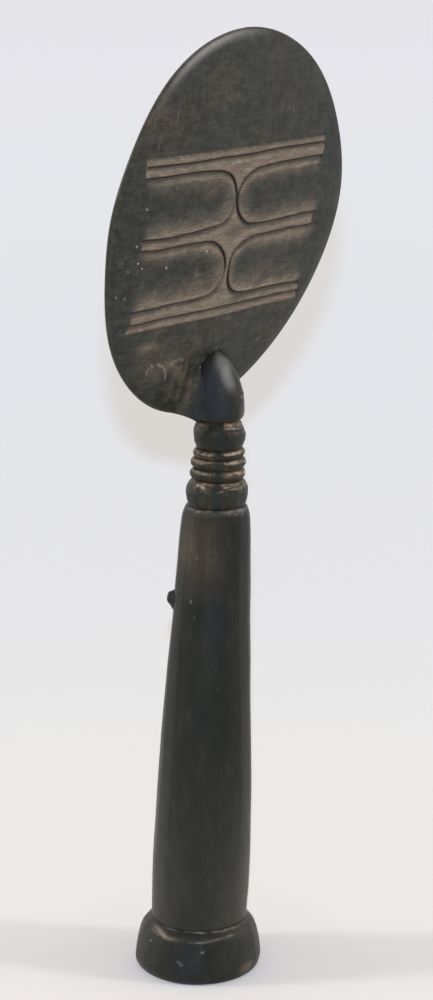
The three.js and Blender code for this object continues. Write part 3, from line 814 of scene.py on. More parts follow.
def disc_sheet(edges, counts):
    """A sheet of points over the disc. Its columns are evenly spaced within each stretch between
    two edges. For each point: across, along, its share of the way to the rim and its mm to it."""
    parts = [np.linspace(a, b, n, endpoint=False) for a, b, n in zip(edges, edges[1:], counts)]
    columns = np.concatenate([*parts, edges[-1:]])
    along = np.broadcast_to(rows[:, None], (len(rows), len(columns))).copy()
    left, right = (np.interp(along, side[:, 1], side[:, 0]) for side in (LEFT_SIDE, RIGHT_SIDE))
    across = (left + right) / 2 + (left - right) / 2 * columns
    distance = np.clip(inside_rim(across, along), 0, None)
    distance[:, [0, -1]] = 0
    return across, along, np.minimum(way_to_rim(across, along), 1), distance


def rounding(distance, radius):
    """How far a rounded corner has dropped at a distance in from the edge."""
    inner = np.clip(1 - distance / radius, 0, 1)
    return radius * (1 - np.sqrt(1 - inner**2))


across, along, share, distance = disc_sheet(
    [-1, -0.994, -0.975, -0.92, -0.8, 0.8, 0.92, 0.975, 0.994, 1], [3, 3, 5, 14, 232, 14, 5, 3, 3]
)
on_panel = (np.abs(across) < PANEL_SIDE) & (along < PANEL_HIGH) & (along > PANEL_LOW - 1)
relief, worn, brown, hollow, cut_way = (
    np.full(across.shape, value) for value in (0.0, 0.0, 0.0, 0.0, FAR_OFF))
carved = panel_relief(across[on_panel], along[on_panel])
for values, found in zip((relief, worn, brown, hollow, cut_way), carved):
    values[on_panel] = found
plane = 0.16 * ripple(across / 11, along / 17, 41) + 0.07 * ripple(across / 3.4, along / 26, 42, 9)
back_out = relief + plane * ease(0, 6, distance) - rim_fall(share) - rounding(distance, ROUND_BACK)
flare = boss_flare(across, along)
back_points = on_disc(across, along, back_out + 0.94 * flare)
print("deepest cut of the panel, mm:", round(-relief.min(), 2))

# %% [markdown]
# ## Wear on the disc
#
# Outside the panel the disc has brown rubs, a curved scratch low on the left and pale specks,
# and high on the left a pale band along its rounded rim is a painted highlight. They are written
# as places on the disc and go into the same masks as the panel's wear. Near the boss the wood is
# dark and smooth.

# %% Wear on the disc's back
# Knocks and rubs outside the panel, as the panel's blots are written.
DISC_BLOTS = [
    (30, -43, 4.5, 1.6, 0.35, 0.6), (27, -42, 1.6, 1.2, 0.2, 0.3), (26, -47, 9, 8, 0.05, 0.45),
    (10, -46, 8, 7, 0.02, 0.6), (-8, -43, 9, 5, 0, 0.25), (9, -59, 1.3, 7, 0.14, 0.8),
    (5.5, -61, 1.2, 6, 0.12, 0.7), (12.5, -54, 2.2, 3, 0.2, 0.6), (17, -51, 3, 2.5, 0.2, 0.5),
    (14, -61, 2, 5, 0.05, 0.5), (22, -52, 5, 4, 0.06, 0.35), (38, 33, 16, 12, 0, 0.45),
    (12, 45, 9, 8, 0.03, 0.3), (-20, 40, 12, 14, 0, 0.2), (-30, -45, 9, 9, 0, 0.35),
]
# Scratches: points, half width and strength.
SCRATCHES = [
    ([(26.9, -53.2), (26.8, -51.1), (25, -49.7), (22.7, -49.8), (20, -51.3), (18.1, -53.8),
      (17.5, -56.4)], 0.22, 0.55),
    ([(25.7, -52.5), (24.1, -50.3), (21.3, -50.8)], 0.2, 0.35),
    ([(4.6, 18.1), (0.6, 18.2), (-3.3, 18.1)], 0.25, 0.5),
    ([(16.5, -51), (13.5, -49.4), (11.5, -50)], 0.4, 0.28),
    ([(10.6, -57), (10.8, -55), (11.3, -53)], 0.3, 0.12), ([(9.2, -51), (8.6, -53)], 0.3, 0.1),
    ([(31.5, 34.5), (31.3, 38)], 0.25, 0.2), ([(38.5, 26), (38.2, 30)], 0.25, 0.16),
    ([(-23.2, 32.8), (-23.2, 34.6)], 0.2, 0.3), ([(-21, 33.2), (-21, 35)], 0.2, 0.25),
    ([(42.6, 22.9), (41.9, 19.5), (41.5, 17)], 0.22, 0.35),
]
# Specks: across, along and size.
SPECKS = [
    (42.6, -5.5, 0.5), (40.9, -11.4, 0.55), (38.9, -13.4, 0.45), (27.8, -14.7, 0.6),
    (10.6, -11.1, 0.65), (44.6, -13.7, 0.4), (47.7, -10.6, 0.35), (34.6, -35.6, 0.5),
    (40.4, 6.6, 0.5), (47.9, -22.3, 0.4), (44.2, -23, 0.4), (28.5, 12.2, 0.35), (19.7, 45.7, 0.28),
    (-15.1, 42.7, 0.28), (-14.5, -27.2, 0.4), (-21.5, -27.6, 0.4), (-9.8, 13.2, 0.35),
    (-25.8, -48.1, 0.5), (1.6, -54.4, 0.35), (0.6, -52.4, 0.35), (-0.5, -51.2, 0.4),
    (-1.6, -50, 0.4), (-2.8, -48.8, 0.5), (-4.1, -48.2, 0.3),
]
# The painted highlight along the rounded rim, high on the figure's left: degrees round the disc,
# strength.
RIM_HIGHLIGHT = [38, 50, 58, 67, 76, 84, 92, 100], [0, 0.14, 0.42, 0.62, 0.62, 0.4, 0.18, 0]
RIM_IN, RIM_HIGHLIGHT_IN = 0.4, 0.9

rim_worn = bell(distance - RIM_IN, RIM_IN) * (0.1 + 0.1 * ripple(across / 7, along / 9, 43))
worn = np.maximum(worn, np.clip(rim_worn, 0, 1))
worn, brown = rub(worn, brown, DISC_BLOTS, across, along)

on_flare, smooth = ease(0.02, 0.8, flare), ease(1.7, 4.0, flare)
streaked = ripple((across + 0.3 * along) / 0.55, along / 7, 58)
rough_flare = on_flare * (1 - smooth)
brown = np.clip(brown + 0.2 * rough_flare, 0, 1)
worn = np.clip(worn * (1 - smooth) + 0.07 * rough_flare * (0.5 + 0.6 * streaked), 0, 1)
# Darker streaks on the flare: painted shade in its hollow, broken up by the tool streaks.
hollow = np.maximum(hollow, on_flare * ease(0.3, 1, -streaked))

# A pale band just inside the rim high on the left: a painted highlight of the rounded edge.
rim_turn = np.degrees(np.arctan2(along, across))
off_highlight = distance - RIM_HIGHLIGHT_IN
band = bell(off_highlight, np.where(off_highlight < 0, 0.6, 1.5)) * np.interp(rim_turn, *RIM_HIGHLIGHT)
scratch = 0.9 * np.clip(band, 0, 1)
for points, width, strength in SCRATCHES:
    trail = smooth_line(points, 0.4)
    near = np.min([np.hypot(across - x, along - y) for x, y in trail], axis=0)
    scratch = np.maximum(scratch, strength * bell(near, width))
for x, y, size in SPECKS:
    scratch = np.maximum(scratch, 1.4 * bell(np.hypot(across - x, along - y), 0.5 * size))

# %% The disc's front, its rim and its mesh
RIM_BULGE = 0.12
BACK_TIP_OUT, FRONT_TIP_OUT = -1.15, -2.35

front_across, front_along, front_share, front_distance = disc_sheet(
    [-1, -0.99, -0.95, -0.8, 0.8, 0.95, 0.99, 1], [2, 3, 5, 42, 5, 3, 2]
)
front_plane = 0.14 * ripple(front_across / 12, front_along / 16, 44)
front_out = rounding(front_distance, ROUND_FRONT) - front_depth(front_share)
front_out = front_out + front_plane * ease(0, 6, front_distance)
front_points = on_disc(front_across, front_along, front_out)


def outline_of(grid):
    """The outer loop of a grid of points: up its last column and down its first."""
    return np.concatenate([grid[:, -1], grid[::-1, 0]])


bulge = np.stack([outline_of(across), 0 * outline_of(across), outline_of(along)], -1)
middle_ring = 0.5 * (outline_of(back_points) + outline_of(front_points))
middle_ring = middle_ring + RIM_BULGE * bulge / np.linalg.norm(bulge, axis=1, keepdims=True)
tip_across, tip_along = np.array([TOP_TIP, LOW_TIP, TOP_TIP, LOW_TIP]).T
tips = on_disc(tip_across, tip_along, np.repeat([BACK_TIP_OUT, FRONT_TIP_OUT], 2))
disc_points = np.vstack(
    [back_points.reshape(-1, 3), front_points.reshape(-1, 3), middle_ring, tips])

back_number = np.arange(across.size).reshape(across.shape)
front_number = across.size + np.arange(front_across.size).reshape(front_across.shape)
ring_number = front_number.max() + 1 + np.arange(len(middle_ring))
back_top, back_low, front_top, front_low = ring_number[-1] + 1 + np.arange(4)
loops = np.stack([outline_of(front_number), ring_number, outline_of(back_number)])
left = len(rows)  # where the loops come over the top to the left side
disc_faces = quads(back_number) + quads(front_number[:, ::-1])
disc_faces += quads(loops[:, :left]) + quads(loops[:, left:])
for number, top_tip, low_tip, order in (
    (back_number, back_top, back_low, 1), (front_number, front_top, front_low, -1),
):
    disc_faces += [[a, b, top_tip][::order] for a, b in zip(number[-1], number[-1, 1:])]
    disc_faces += [[b, a, low_tip][::order] for a, b in zip(number[0], number[0, 1:])]
for a, b, back_tip, front_tip in (
    (left - 1, left, back_top, front_top), (-1, 0, back_low, front_low),
):
    disc_faces.append([*loops[::-1, a], front_tip, back_tip])
    disc_faces.append([back_tip, front_tip, *loops[:, b]])


def whole_disc(back, front, rim):
    """One mask over the back, the front, the rim and the four tips."""
    front = np.broadcast_to(front, front_across.shape)
    rim = np.broadcast_to(rim, len(middle_ring))
    return np.concatenate([back.ravel(), front.ravel(), rim, [np.min(rim)] * 4])


# The rim's side: worn paler on the left, and a painted highlight higher up on the left.
rim_turns = outline_of(rim_turn)
rim_wear_and_highlight = 0.2 * ease(8, 14, rim_turns) * ease(32, 24, rim_turns)
rim_wear_and_highlight = rim_wear_and_highlight + 0.16 * ease(50, 62, rim_turns) * ease(105, 85, rim_turns)
disc_masks = {
    "worn": whole_disc(worn, 0.3 * bell(front_distance - 0.6, 0.8), 0.05),
    "brown": whole_disc(brown, 0, 0.4), "hollow": whole_disc(hollow, 0, 0.1),
    "scratch": whole_disc(scratch, 0, rim_wear_and_highlight), "smooth": whole_disc(smooth, 0, 0),
    "cut_way": whole_disc(cut_way, FAR_OFF, FAR_OFF),
}
make_piece("carved_head_disc", disc_points, disc_faces, "disc_wood", "head_disc", disc_masks)

# %% [markdown]
# ## Nape boss
#
# The neck runs up behind the disc in a rounded thumb of wood that carries it. It is turned as
# the column is, but its front is squared off and sunk in the disc. It is the shiniest part of
# the figure, because fingers meet it each time the figure is picked up, and its pale highlight
# and cool sheen are painted into its colour as a painted highlight and a painted reflection.

# %% Nape boss
BOSS_MARKS = {
    # Pale grey streaks in the boss's highlight: partly scrapes, partly painted highlight.
    "grey": [
        (0.3, 213.7, 0.6, 213, 0.22, 0.4), (0.24, 212.6, 0.6, 211.9, 0.22, 0.45),
        (0.22, 211.5, 0.58, 210.8, 0.22, 0.5), (0.3, 210.3, 0.5, 210, 0.22, 0.5),
        (1.1, 205.6, 1.42, 205.5, 0.4, 0.9), (0, 209, 0.05, 209, 0.35, 0.25),
    ],
    "hollow": [(1.15, 206.6, 1.42, 206.5, 0.4, 1.2)],
}
BOSS_PATCHES = {
    "worn": [(0.25, 1.2, 200, 0.3, 3)],
    "brown": [(0.4, 0.85, 208, 0.5, 3.5)],
    # The pale grey patches high on the boss are its painted highlight.
    "grey": [(0.75, 0.6, 217, 0.55, 3.6), (0.75, 0.55, 212, 0.32, 3.6)],
    # A painted cool reflection on the boss.
    "bloom": [(0.6, -0.4, 209, 0.75, 8), (0.3, 0.05, 201, 0.5, 4)],
}
LOW_Z = TIP_Z - 0.9  # under this height the boss is whole, and over it the disc takes its front
SINK = 1.2


def disc_back_y(x, z):
    """How far back the disc's back is at a place, in mm."""
    lean = np.arcsin(np.clip(math.sin(TIP_LEAN) - (z - TIP_Z) / CURVE_RADIUS, -1, 1))
    height_along = (TIP_LEAN - lean) * CURVE_RADIUS - LOWER_HEIGHT
    return on_disc(x, height_along, 0 * x)[..., 1]


turn, height, radius = ring_grid(BOSS_LINE, 180)
away = from_camera(turn)
middle_x, middle_y = boss_middle(height)
bumps = 0.12 * ripple(2 * turn, height / 6, 52) - facets(turn, height, 7, 0.1, 51)
bumps = bumps - 0.35 * np.sin(away) * ease(199.5, BOSS_BASE, height)
boss_cut = radius + bumps * ease(-0.3, 0.3, np.sin(turn))
# Its sides run straight down into the disc, where the flare meets them.
straight = np.where(np.sin(turn) < 0, 1 - 0.75 * ease(BOSS_BASE, 200, height), 1)
boss_x = middle_x + boss_cut * np.sign(np.cos(turn)) * np.abs(np.cos(turn)) ** straight
boss_y = middle_y + boss_cut * np.sin(turn)
sunk = ease(LOW_Z - 1, LOW_Z + 0.6, height)
disc_y = disc_back_y(boss_x, np.maximum(height, LOW_Z))
boss_y = boss_y + sunk * np.maximum(disc_y - SINK - boss_y, 0)
boss_rings = np.stack([boss_x, boss_y, height], -1)

# Painted shade in the crease where the boss meets the disc, and at the boss's foot.
in_crease = bell(boss_y - disc_y, 0.5) * sunk * ease(209, 214, height)
boss_masks = {
    "brown": 0.3 * ease(-0.7, -1.0, away) * ease(212, 208, height),
    "hollow": 0.4 * in_crease + 0.3 * ease(0.5, 0, height - BOSS_BASE),
    "grey": 0.5 * in_crease * (ripple(height / 0.5, boss_x / 0.5, 56) > 0.9),
}
add_wear(boss_masks, turn, height, BOSS_MARKS, BOSS_PATCHES)
boss_ends = [[*column_axis(NECK_TOP), BOSS_BASE], boss_rings[-1].mean(0)]
make_round("rounded_nape_boss", boss_rings, boss_ends, "body_wood", "nape_boss", boss_masks)

# %% [markdown]
# ## Breasts
#
# Two small studs high on the front of the torso. Each is a blunt cone whose foot spreads into
# the torso, and it points slightly upwards.

# %% Breasts
STUD_PROFILE = [
    (4.3, -0.7), (3.55, 0.05), (2.9, 0.6), (2.3, 1.3), (1.85, 1.95), (1.3, 2.3), (0.5, 2.45),
    (0.05, 2.5),
]
BREAST_HEIGHT, BREAST_TURN, BREAST_TILT = 131.8, math.radians(38), 0.16
BREAST_SEGMENTS = 40


def unit(vector):
    return np.asarray(vector) / np.linalg.norm(vector)


def breast(name, side):
    """A stud on the torso, out of its surface and tilted a little upwards."""
    torso_line = smooth_line(TORSO_PROFILE, 0.8)
    torso_radius = np.interp(BREAST_HEIGHT, torso_line[:, 1], torso_line[:, 0])
    out = unit([side * math.sin(BREAST_TURN), -math.cos(BREAST_TURN), BREAST_TILT])
    across = unit(np.cross([0, 0, 1], out))
    up = np.cross(out, across)
    line = smooth_line(STUD_PROFILE, 0.3)
    turn, rise, radius = ring_grid(line, BREAST_SEGMENTS)
    above = np.maximum(rise, 0)
    bend = (radius * np.cos(turn)) ** 2 / (2 * torso_radius) * np.maximum(0, 1 - above / 1.6)
    lift = 0.35 * above / 2.5
    points = np.array([*column_axis(BREAST_HEIGHT), BREAST_HEIGHT]) + sum(
        direction * amount[..., None] for direction, amount in (
            (out, torso_radius + rise - bend), (across, radius * np.cos(turn)),
            (up, radius * np.sin(turn) + lift)))
    faces = closed_quads(*turn.shape)
    last = turn.size - BREAST_SEGMENTS
    faces += [list(range(last, turn.size)), list(range(BREAST_SEGMENTS - 1, -1, -1))]
    # Painted shade where the stud meets the torso.
    masks = {"worn": 0.35 * ease(1.6, 2.4, rise), "hollow": 0.4 * ease(0.9, 0.0, rise)}
    make_piece(f"carved_{name}", points.reshape(-1, 3), faces, "body_wood", name, masks)


breast("left_breast", 1)
breast("right_breast", -1)

# %% [markdown]
# ## Face
#
# The photograph shows only the back of the head, so the face is a plain traditional one: arched
# brows that run down into a long nose, small closed eyes and a small mouth, set low on the disc.
# Each relief is a small hill of height over the disc's front, with its foot sunk in the wood.

# %% Face reliefs
RELIEF_SPACING, RELIEF_SUNK, RELIEF_FOOT = 0.5, -0.5, 1.2


def relief_piece(node, low, high, hill):
    """A relief on the disc's front. `hill` gives its height in mm over the face at a point."""
    x, y = (np.arange(a, b + RELIEF_SPACING, RELIEF_SPACING) for a, b in zip(low, high))
    x_at, y_at = np.meshgrid(x, y)
    rise = np.maximum(hill(x_at, y_at), RELIEF_SUNK)
    base = -front_depth(np.minimum(way_to_rim(x_at, y_at), 1))
    top = on_disc(x_at, y_at, base - rise)
    bottom = on_disc(x_at, y_at, base + RELIEF_FOOT)
    used = rise > RELIEF_SUNK + 1e-6
    cell = used[:-1, :-1] | used[:-1, 1:] | used[1:, :-1] | used[1:, 1:]
    number = np.arange(x_at.size).reshape(x_at.shape)
    faces, edges = [], {}
    for i, j in zip(*np.nonzero(cell)):
        quad = [number[i, j], number[i + 1, j], number[i + 1, j + 1], number[i, j + 1]]
        faces += [quad, [n + x_at.size for n in quad[::-1]]]
        for a, b in zip(quad, quad[1:] + quad[:1]):
            if edges.pop((b, a), None) is None:
                edges[(a, b)] = True
    faces += [[b, a, a + x_at.size, b + x_at.size] for a, b in edges]
    points = np.vstack([top.reshape(-1, 3), bottom.reshape(-1, 3)])
    kept = sorted({n for face in faces for n in face})
    new_number = {n: i for i, n in enumerate(kept)}
    faces = [[new_number[n] for n in face] for face in faces]
    # Painted shade round the foot of each relief.
    masks = {"worn": np.clip(0.45 * rise, 0, 0.5), "hollow": 0.6 * ease(0.5, -0.2, rise)}
    masks = {mask: np.append(values, 0 * rise)[kept] for mask, values in masks.items()}
    make_piece(f"carved_{node}", points[kept], faces, "face_wood", node, masks)


def ridge(x, y, line, width, rise):
    """Height of a rounded ridge along a line, whose width and rise change from start to end."""
    line = smooth_line(line, 0.8)
    total = np.full(x.shape, -5.0)
    for (px, py), wide, tall in zip(
        line, np.linspace(*width, len(line)), np.linspace(*rise, len(line))
    ):
        away = np.hypot(x - px, y - py) / (wide / 2)
        hump = tall * (1.25 * np.exp(-(away**2) * 1.1) - 0.25)
        total = np.maximum(total, hump - 0.35 * (away > 1.6))
    return total


def brow_hill(x, y):
    brow = [(0.5, -21), (9, -14.5), (17, -12.5), (25, -15.5), (33, -24.5)]
    brows = ridge(np.abs(x), y, brow, (4.2, 2.6), (2.0, 1.2))
    nose = ridge(x, y, [(0, -19), (0, -28), (0, -36), (0, -42)], (3.4, 6.4), (2.0, 3.3))
    return np.log(np.exp(3 * brows) + np.exp(3 * nose)) / 3


def bean_hill(x_mid, y_mid, length, tall, rise):
    """A low oval hill with a slit along its middle."""
    def hill(x, y):
        along, up = (x - x_mid) / (length / 2), y - y_mid
        dome = rise * (1 - np.hypot(along, up / (tall / 2)) ** 2.2)
        slit = 0.9 * bell(up, 0.42) * ease(1.02, 0.75, np.abs(along))
        return np.maximum(dome - slit, -0.6)
    return hill


relief_piece("brow_and_nose", (-36, -46), (36, -9), brow_hill)
relief_piece("left_eye", (6, -33), (23, -23), bean_hill(14.5, -28, 13, 5.2, 1.5))
relief_piece("right_eye", (-23, -33), (-6, -23), bean_hill(-14.5, -28, 13, 5.2, 1.5))
relief_piece("mouth", (-8, -59), (8, -49), bean_hill(0, -54, 11, 4.6, 1.4))

# %% [markdown]
# ## Shader maths
#
# A finish is a recipe of noise, masks and colours. `Signal` wraps one output of a node, so that
# `1 - worn * grain` reads as a sum and adds the Math nodes by itself. Every other node comes from
# `Finish.node`, which sets the node's own settings first and then its sockets.

# %% Shader maths
class Signal:
    """An output of a node, which can be used in sums."""

    def __init__(self, finish, socket):
        self.finish, self.socket = finish, socket

    def maths(self, operation, *values):
        return self.finish.node("ShaderNodeMath", {"operation": operation}, values)

    def __add__(self, other):
        return self.maths("ADD", self, other)

    def __sub__(self, other):
        return self.maths("SUBTRACT", self, other)

    def __rsub__(self, other):
        return self.maths("SUBTRACT", other, self)

    def __mul__(self, other):
        return self.maths("MULTIPLY", self, other)

    def __truediv__(self, other):
        return self.maths("DIVIDE", self, other)

    def __pow__(self, other):
        return self.maths("POWER", self, other)

    __radd__, __rmul__ = __add__, __mul__

    def held(self):
        """The same, held between 0 and 1."""
        return self.finish.node("ShaderNodeClamp", {}, [self, 0, 1])


# %% A material to build in
class Finish:
    """A material, with one method that adds any node to it."""

    def __init__(self, name):
        self.material = bpy.data.materials.new(name)
        self.material.use_nodes = True
        self.tree = self.material.node_tree
        self.tree.nodes.clear()
        self.place = self.node("ShaderNodeTexCoord", output=3)

    def node(self, kind, settings=None, sockets=(), output=0):
        """A node of a kind. Sockets are values or Signals, by place or by name."""
        made = self.tree.nodes.new(kind)
        for setting, value in (settings or {}).items():
            if setting == "stops":
                self.set_stops(made.color_ramp, value)
            else:
                setattr(made, setting, value)
        pairs = sockets.items() if isinstance(sockets, dict) else enumerate(sockets)
        for place, value in pairs:
            if isinstance(value, Signal):
                self.tree.links.new(value.socket, made.inputs[place])
            else:
                made.inputs[place].default_value = value
        return Signal(self, made.outputs[output]) if made.outputs else None

    def set_stops(self, ramp, stops):
        while len(ramp.elements) < len(stops):
            ramp.elements.new(0.5)
        for element, (place, colour) in zip(ramp.elements, stops):
            element.position, element.color = place, (*colour, 1)

    def masks(self, *names):
        """What the piece keeps at its points under each name."""
        kind = "ShaderNodeAttribute"
        return [self.node(kind, {"attribute_name": name}, output=2) for name in names]

    def blend(self, share, start, end):
        """A colour between two colours."""
        start, end = ((*c, 1) if isinstance(c, tuple) else c for c in (start, end))
        return self.node(
            "ShaderNodeMix", {"data_type": "RGBA"}, {0: share, 6: start, 7: end}, output=2)

    def between(self, value, low, high):
        """0 where value is under low, 1 where it is over high, soft between."""
        return self.node(
            "ShaderNodeMapRange", {"interpolation_type": "SMOOTHSTEP"},
            {"Value": value, "From Min": low, "From Max": high})

    def noise(self, stretch, scale, detail, rough=0.55):
        """Noise over the object, with the place stretched before it is read."""
        at = self.node("ShaderNodeVectorMath", {"operation": "MULTIPLY"}, [self.place, stretch])
        return self.node(
            "ShaderNodeTexNoise", {"noise_dimensions": "3D"},
            {"Vector": at, "Scale": scale, "Detail": detail, "Roughness": rough})

    def surface(self, colour, roughness, specular, sockets):
        """The material's shader and its output. `sockets` holds what else the shader has."""
        shader = self.node("ShaderNodeBsdfPrincipled", {}, {
            "Base Color": colour, "Roughness": roughness, "Specular IOR Level": specular,
            **sockets})
        self.node("ShaderNodeOutputMaterial", {}, {"Surface": shader})
        return self.material

    def wood(self, colour, roughness, specular, height, depth):
        """Wood whose grain stands `height` times `depth` high."""
        bump = self.node(
            "ShaderNodeBump", {}, {"Strength": 1.0, "Distance": depth, "Height": height})
        return self.surface(colour, roughness, specular, {"Normal": bump, "IOR": WOOD_IOR})


# %% [markdown]
# ## Stained wood
#
# One recipe serves every piece but the disc, with different numbers. Fine fibres run up the
# block, so the noise for the grain is drawn out along Z. Stain lies unevenly, so two broader
# noises mottle it from black to brown. The `worn` mask brings out taupe bare wood, broken up by
# the fibres, and `brown` thins the stain. Other masks lay on pale grey scrapes with painted
# highlights, a painted cool reflection, and painted shade with some grime in the cuts and
# creases. Fibres and pores also make the bump.

# %% Stained wood
WOOD_IOR = 1.45


def srgb(red, green, blue):
    """A colour given as it looks on a screen, 0 to 255, in linear light."""
    values = [c / 255 for c in (red, green, blue)]
    return tuple(v / 12.92 if v <= 0.04045 else ((v + 0.055) / 1.055) ** 2.4 for v in values)


# A pale grey for scrapes and painted highlights, and a cool blue for a painted reflection.
SCRAPE_AND_HIGHLIGHT, SHEEN = srgb(124, 121, 117), srgb(54, 64, 80)


def stained_wood(name, dark, light, umber, bare, shine, grain_depth):
    finish = Finish(name)
    blend, between, noise = finish.blend, finish.between, finish.noise
    dark, light, umber, bare = (srgb(*colour) for colour in (dark, light, umber, bare))
    worn, brown, hollow, grey, bloom = finish.masks("worn", "brown", "hollow", "grey", "bloom")
    fibres = noise((1, 1, 0.07), 1500, 3)
    pores = noise((1, 1, 0.25), 2600, 2)
    rings = noise((0.3, 0.3, 1), 1500, 2)
    mottle = noise((1, 1, 0.5), 300, 4, 0.6)
    clouds = noise((1, 1, 0.45), 60, 4, 0.6)
    tint = between(clouds * 0.45 + mottle * 0.35 + fibres * 0.2, 0.38, 0.62)
    colour = blend(tint, dark, light)
    thin = between(clouds * 0.3 + mottle * 0.7, 0.52, 0.72) * 0.2
    rubs = (fibres - 0.5) * 1.6 + (pores - 0.5) * 1.4 + (rings - 0.5) * 1.2
    bared = (worn + worn * rubs * (1.3 - worn)).held()
    bare_grain = between(pores * 0.5 + rings * 0.5, 0.4, 0.62)
    for share, laid_over in (
        (thin + brown * (0.55 + fibres * 0.5), umber),
        (bared, blend(bare_grain, tuple(0.72 * c for c in bare), bare)),
        # Painted shade, with some grime, in the cuts and creases.
        (hollow * 0.8, tuple(0.4 * c for c in dark)),
        # Pale grey scrapes and painted highlights.
        (grey * (0.6 + mottle * 0.8), SCRAPE_AND_HIGHLIGHT),
        # A painted cool reflection.
        (bloom * (0.2 + mottle * 0.6), SHEEN),
    ):
        colour = blend(share.held(), colour, laid_over)
    roughness = shine + (clouds - 0.5) * 0.22 + (mottle - 0.5) * 0.25
    roughness = roughness + bared * 0.22 + hollow * 0.2 - bloom * 0.1
    height = fibres * 0.5 + pores * 0.3 + mottle * 0.8
    return finish.wood(colour, roughness, 0.2, height, grain_depth)


# %% [markdown]
# ## The disc's charcoal wood
#
# The disc was scraped across its grain, so its strokes and streaks are drawn out along X. In the
# panel the bare wood runs from pinkish to greenish taupe. The bottom of each cut is a thin line of
# painted shade, drawn from the distance to the cut that the points keep, and pale scratches lie on
# top, in the same pale colour as the painted highlight along the rim.

# %% The disc's charcoal wood
# Half width in mm of the painted shade at the bottom of a cut.
CUT_SHADE = 0.34


def disc_finish():
    finish = Finish("charcoal_stained_wood")
    blend, between, noise = finish.blend, finish.between, finish.noise
    worn, brown, hollow, scratch, cut_way, smooth = finish.masks(
        "worn", "brown", "hollow", "scratch", "cut_way", "smooth")
    strokes = noise((0.2, 1, 1), 950, 3, 0.6)
    hatching = noise((1, 1, 0.22), 1300, 2, 0.6)
    speckle = noise((0.8, 1, 1), 1900, 2, 0.7)
    streak = noise((0.07, 1, 1), 3000, 2, 0.6)
    mottle = noise((0.75, 1, 1), 330, 4, 0.62)
    clouds = noise((0.7, 1, 1), 72, 3)
    tint = between(mottle * 0.5 + hatching * 0.2 + strokes * 0.3, 0.38, 0.64)
    colour = blend(tint, srgb(29, 30, 23), srgb(57, 58, 50))
    thin = between(clouds * 0.8 + mottle * 0.2, 0.50, 0.68) * 0.28
    umber = blend(tint, srgb(56, 46, 36), srgb(88, 74, 60))
    colour = blend((thin + brown * 0.75).held(), colour, umber)
    streaks = between(speckle * 0.3 + streak * 0.7, 0.34, 0.66)
    pinkish = blend(streaks, srgb(115, 95, 80), srgb(150, 130, 114))
    greenish = blend(streaks, srgb(106, 95, 77), srgb(143, 131, 112))
    bare = blend(between(mottle, 0.4, 0.62), pinkish, greenish)
    rubs = (speckle - 0.5) * 1.3 + (streak - 0.5) * 0.7 + (strokes - 0.5) * 1.2
    rubs = rubs + (mottle - 0.5) * 1.3
    bared = (worn * 0.98 + worn * rubs * (1.25 - worn)).held()
    colour = blend(bared, colour, bare)
    flecks = between(speckle + (mottle - 0.5) * 0.3, 0.66, 0.76)
    colour = blend(flecks * 0.22, colour, srgb(150, 146, 136))
    line = cut_way.maths("EXPONENT", 0 - (cut_way / CUT_SHADE) ** 2)
    # Painted shade: the bottom of each cut, the creases and the flare are darkened.
    dark = (hollow * (line * 0.9 + 0.22)).held()
    colour = blend(dark, colour, srgb(28, 21, 15))
    colour = blend(smooth * 0.9, colour, blend(tint, srgb(29, 32, 30), srgb(39, 43, 43)))
    # Pale scratches and specks, and the rim's painted highlight.
    colour = blend((scratch * (0.3 + speckle)).held(), colour, srgb(190, 184, 172))
    roughness = 0.52 + (mottle - 0.5) * 0.4 + (strokes - 0.5) * 0.2
    roughness = roughness + bared * 0.2 + dark * 0.2 - smooth * 0.12
    height = strokes * 0.45 + hatching * 0.2 + mottle * 0.8 + speckle * 0.25
    return finish.wood(colour, roughness, 0.3, height, 0.00016)


FINISHES = {
    "body_wood": stained_wood(
        "black_stained_wood", (27, 29, 22), (39, 39, 33), (67, 58, 45), (146, 131, 113),
        0.42, 0.00006),
    "neck_wood": stained_wood(
        "black_wood_rubbed_brown", (29, 31, 25), (47, 49, 41), (100, 70, 44), (186, 164, 142),
        0.46, 0.00007),
    "disc_wood": disc_finish(),
    "face_wood": stained_wood(
        "charcoal_wood_rubbed", (42, 43, 36), (58, 57, 50), (84, 70, 58), (130, 116, 102),
        0.5, 0.0001),
}
for piece in carved_pieces:
    piece.data.materials.append(FINISHES[piece["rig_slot"]])
print("finishes:", ", ".join(material.name for material in FINISHES.values()))

# %% [markdown]
# ## Floor
#
# The figure stands on pale studio paper that runs far back. Its colour drifts a little with the
# distance from the figure, so it is a ramp over that distance, the same from every side.

# %% Floor and world
FLOOR_SIDES, FLOOR_RINGS = 48, [0.1, 0.3, 0.8, 2, 5, 12]
RAMP_REACH = 3.0

angles = 2 * math.pi * np.arange(FLOOR_SIDES) / FLOOR_SIDES
circle = np.stack([np.cos(angles), np.sin(angles), 0 * angles], -1)
floor_points = np.vstack([[[0, 0, 0]], *(ring * circle for ring in FLOOR_RINGS)])
floor_faces = [(0, 1 + i, 1 + (i + 1) % FLOOR_SIDES) for i in range(FLOOR_SIDES)]
floor_faces += [face[::-1] for face in closed_quads(len(FLOOR_RINGS), FLOOR_SIDES, 1)]
floor_mesh = bpy.data.meshes.new("studio_floor")
floor_mesh.from_pydata(floor_points.tolist(), [], floor_faces)
floor = add_object("studio_floor", floor_mesh)
floor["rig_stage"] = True

paper = Finish("pale_floor_paper")
far = paper.node("ShaderNodeVectorMath", {"operation": "LENGTH"}, [paper.place], output=1)
tone = paper.node("ShaderNodeValToRGB", {"stops": [
    (0.0, (0.558, 0.473, 0.374)), (0.05, (0.547, 0.486, 0.391)), (0.15, (0.534, 0.488, 0.418)),
    (0.30, (0.553, 0.513, 0.456)), (0.58, (0.592, 0.558, 0.503)), (1.0, (0.611, 0.570, 0.530)),
]}, [far / RAMP_REACH])
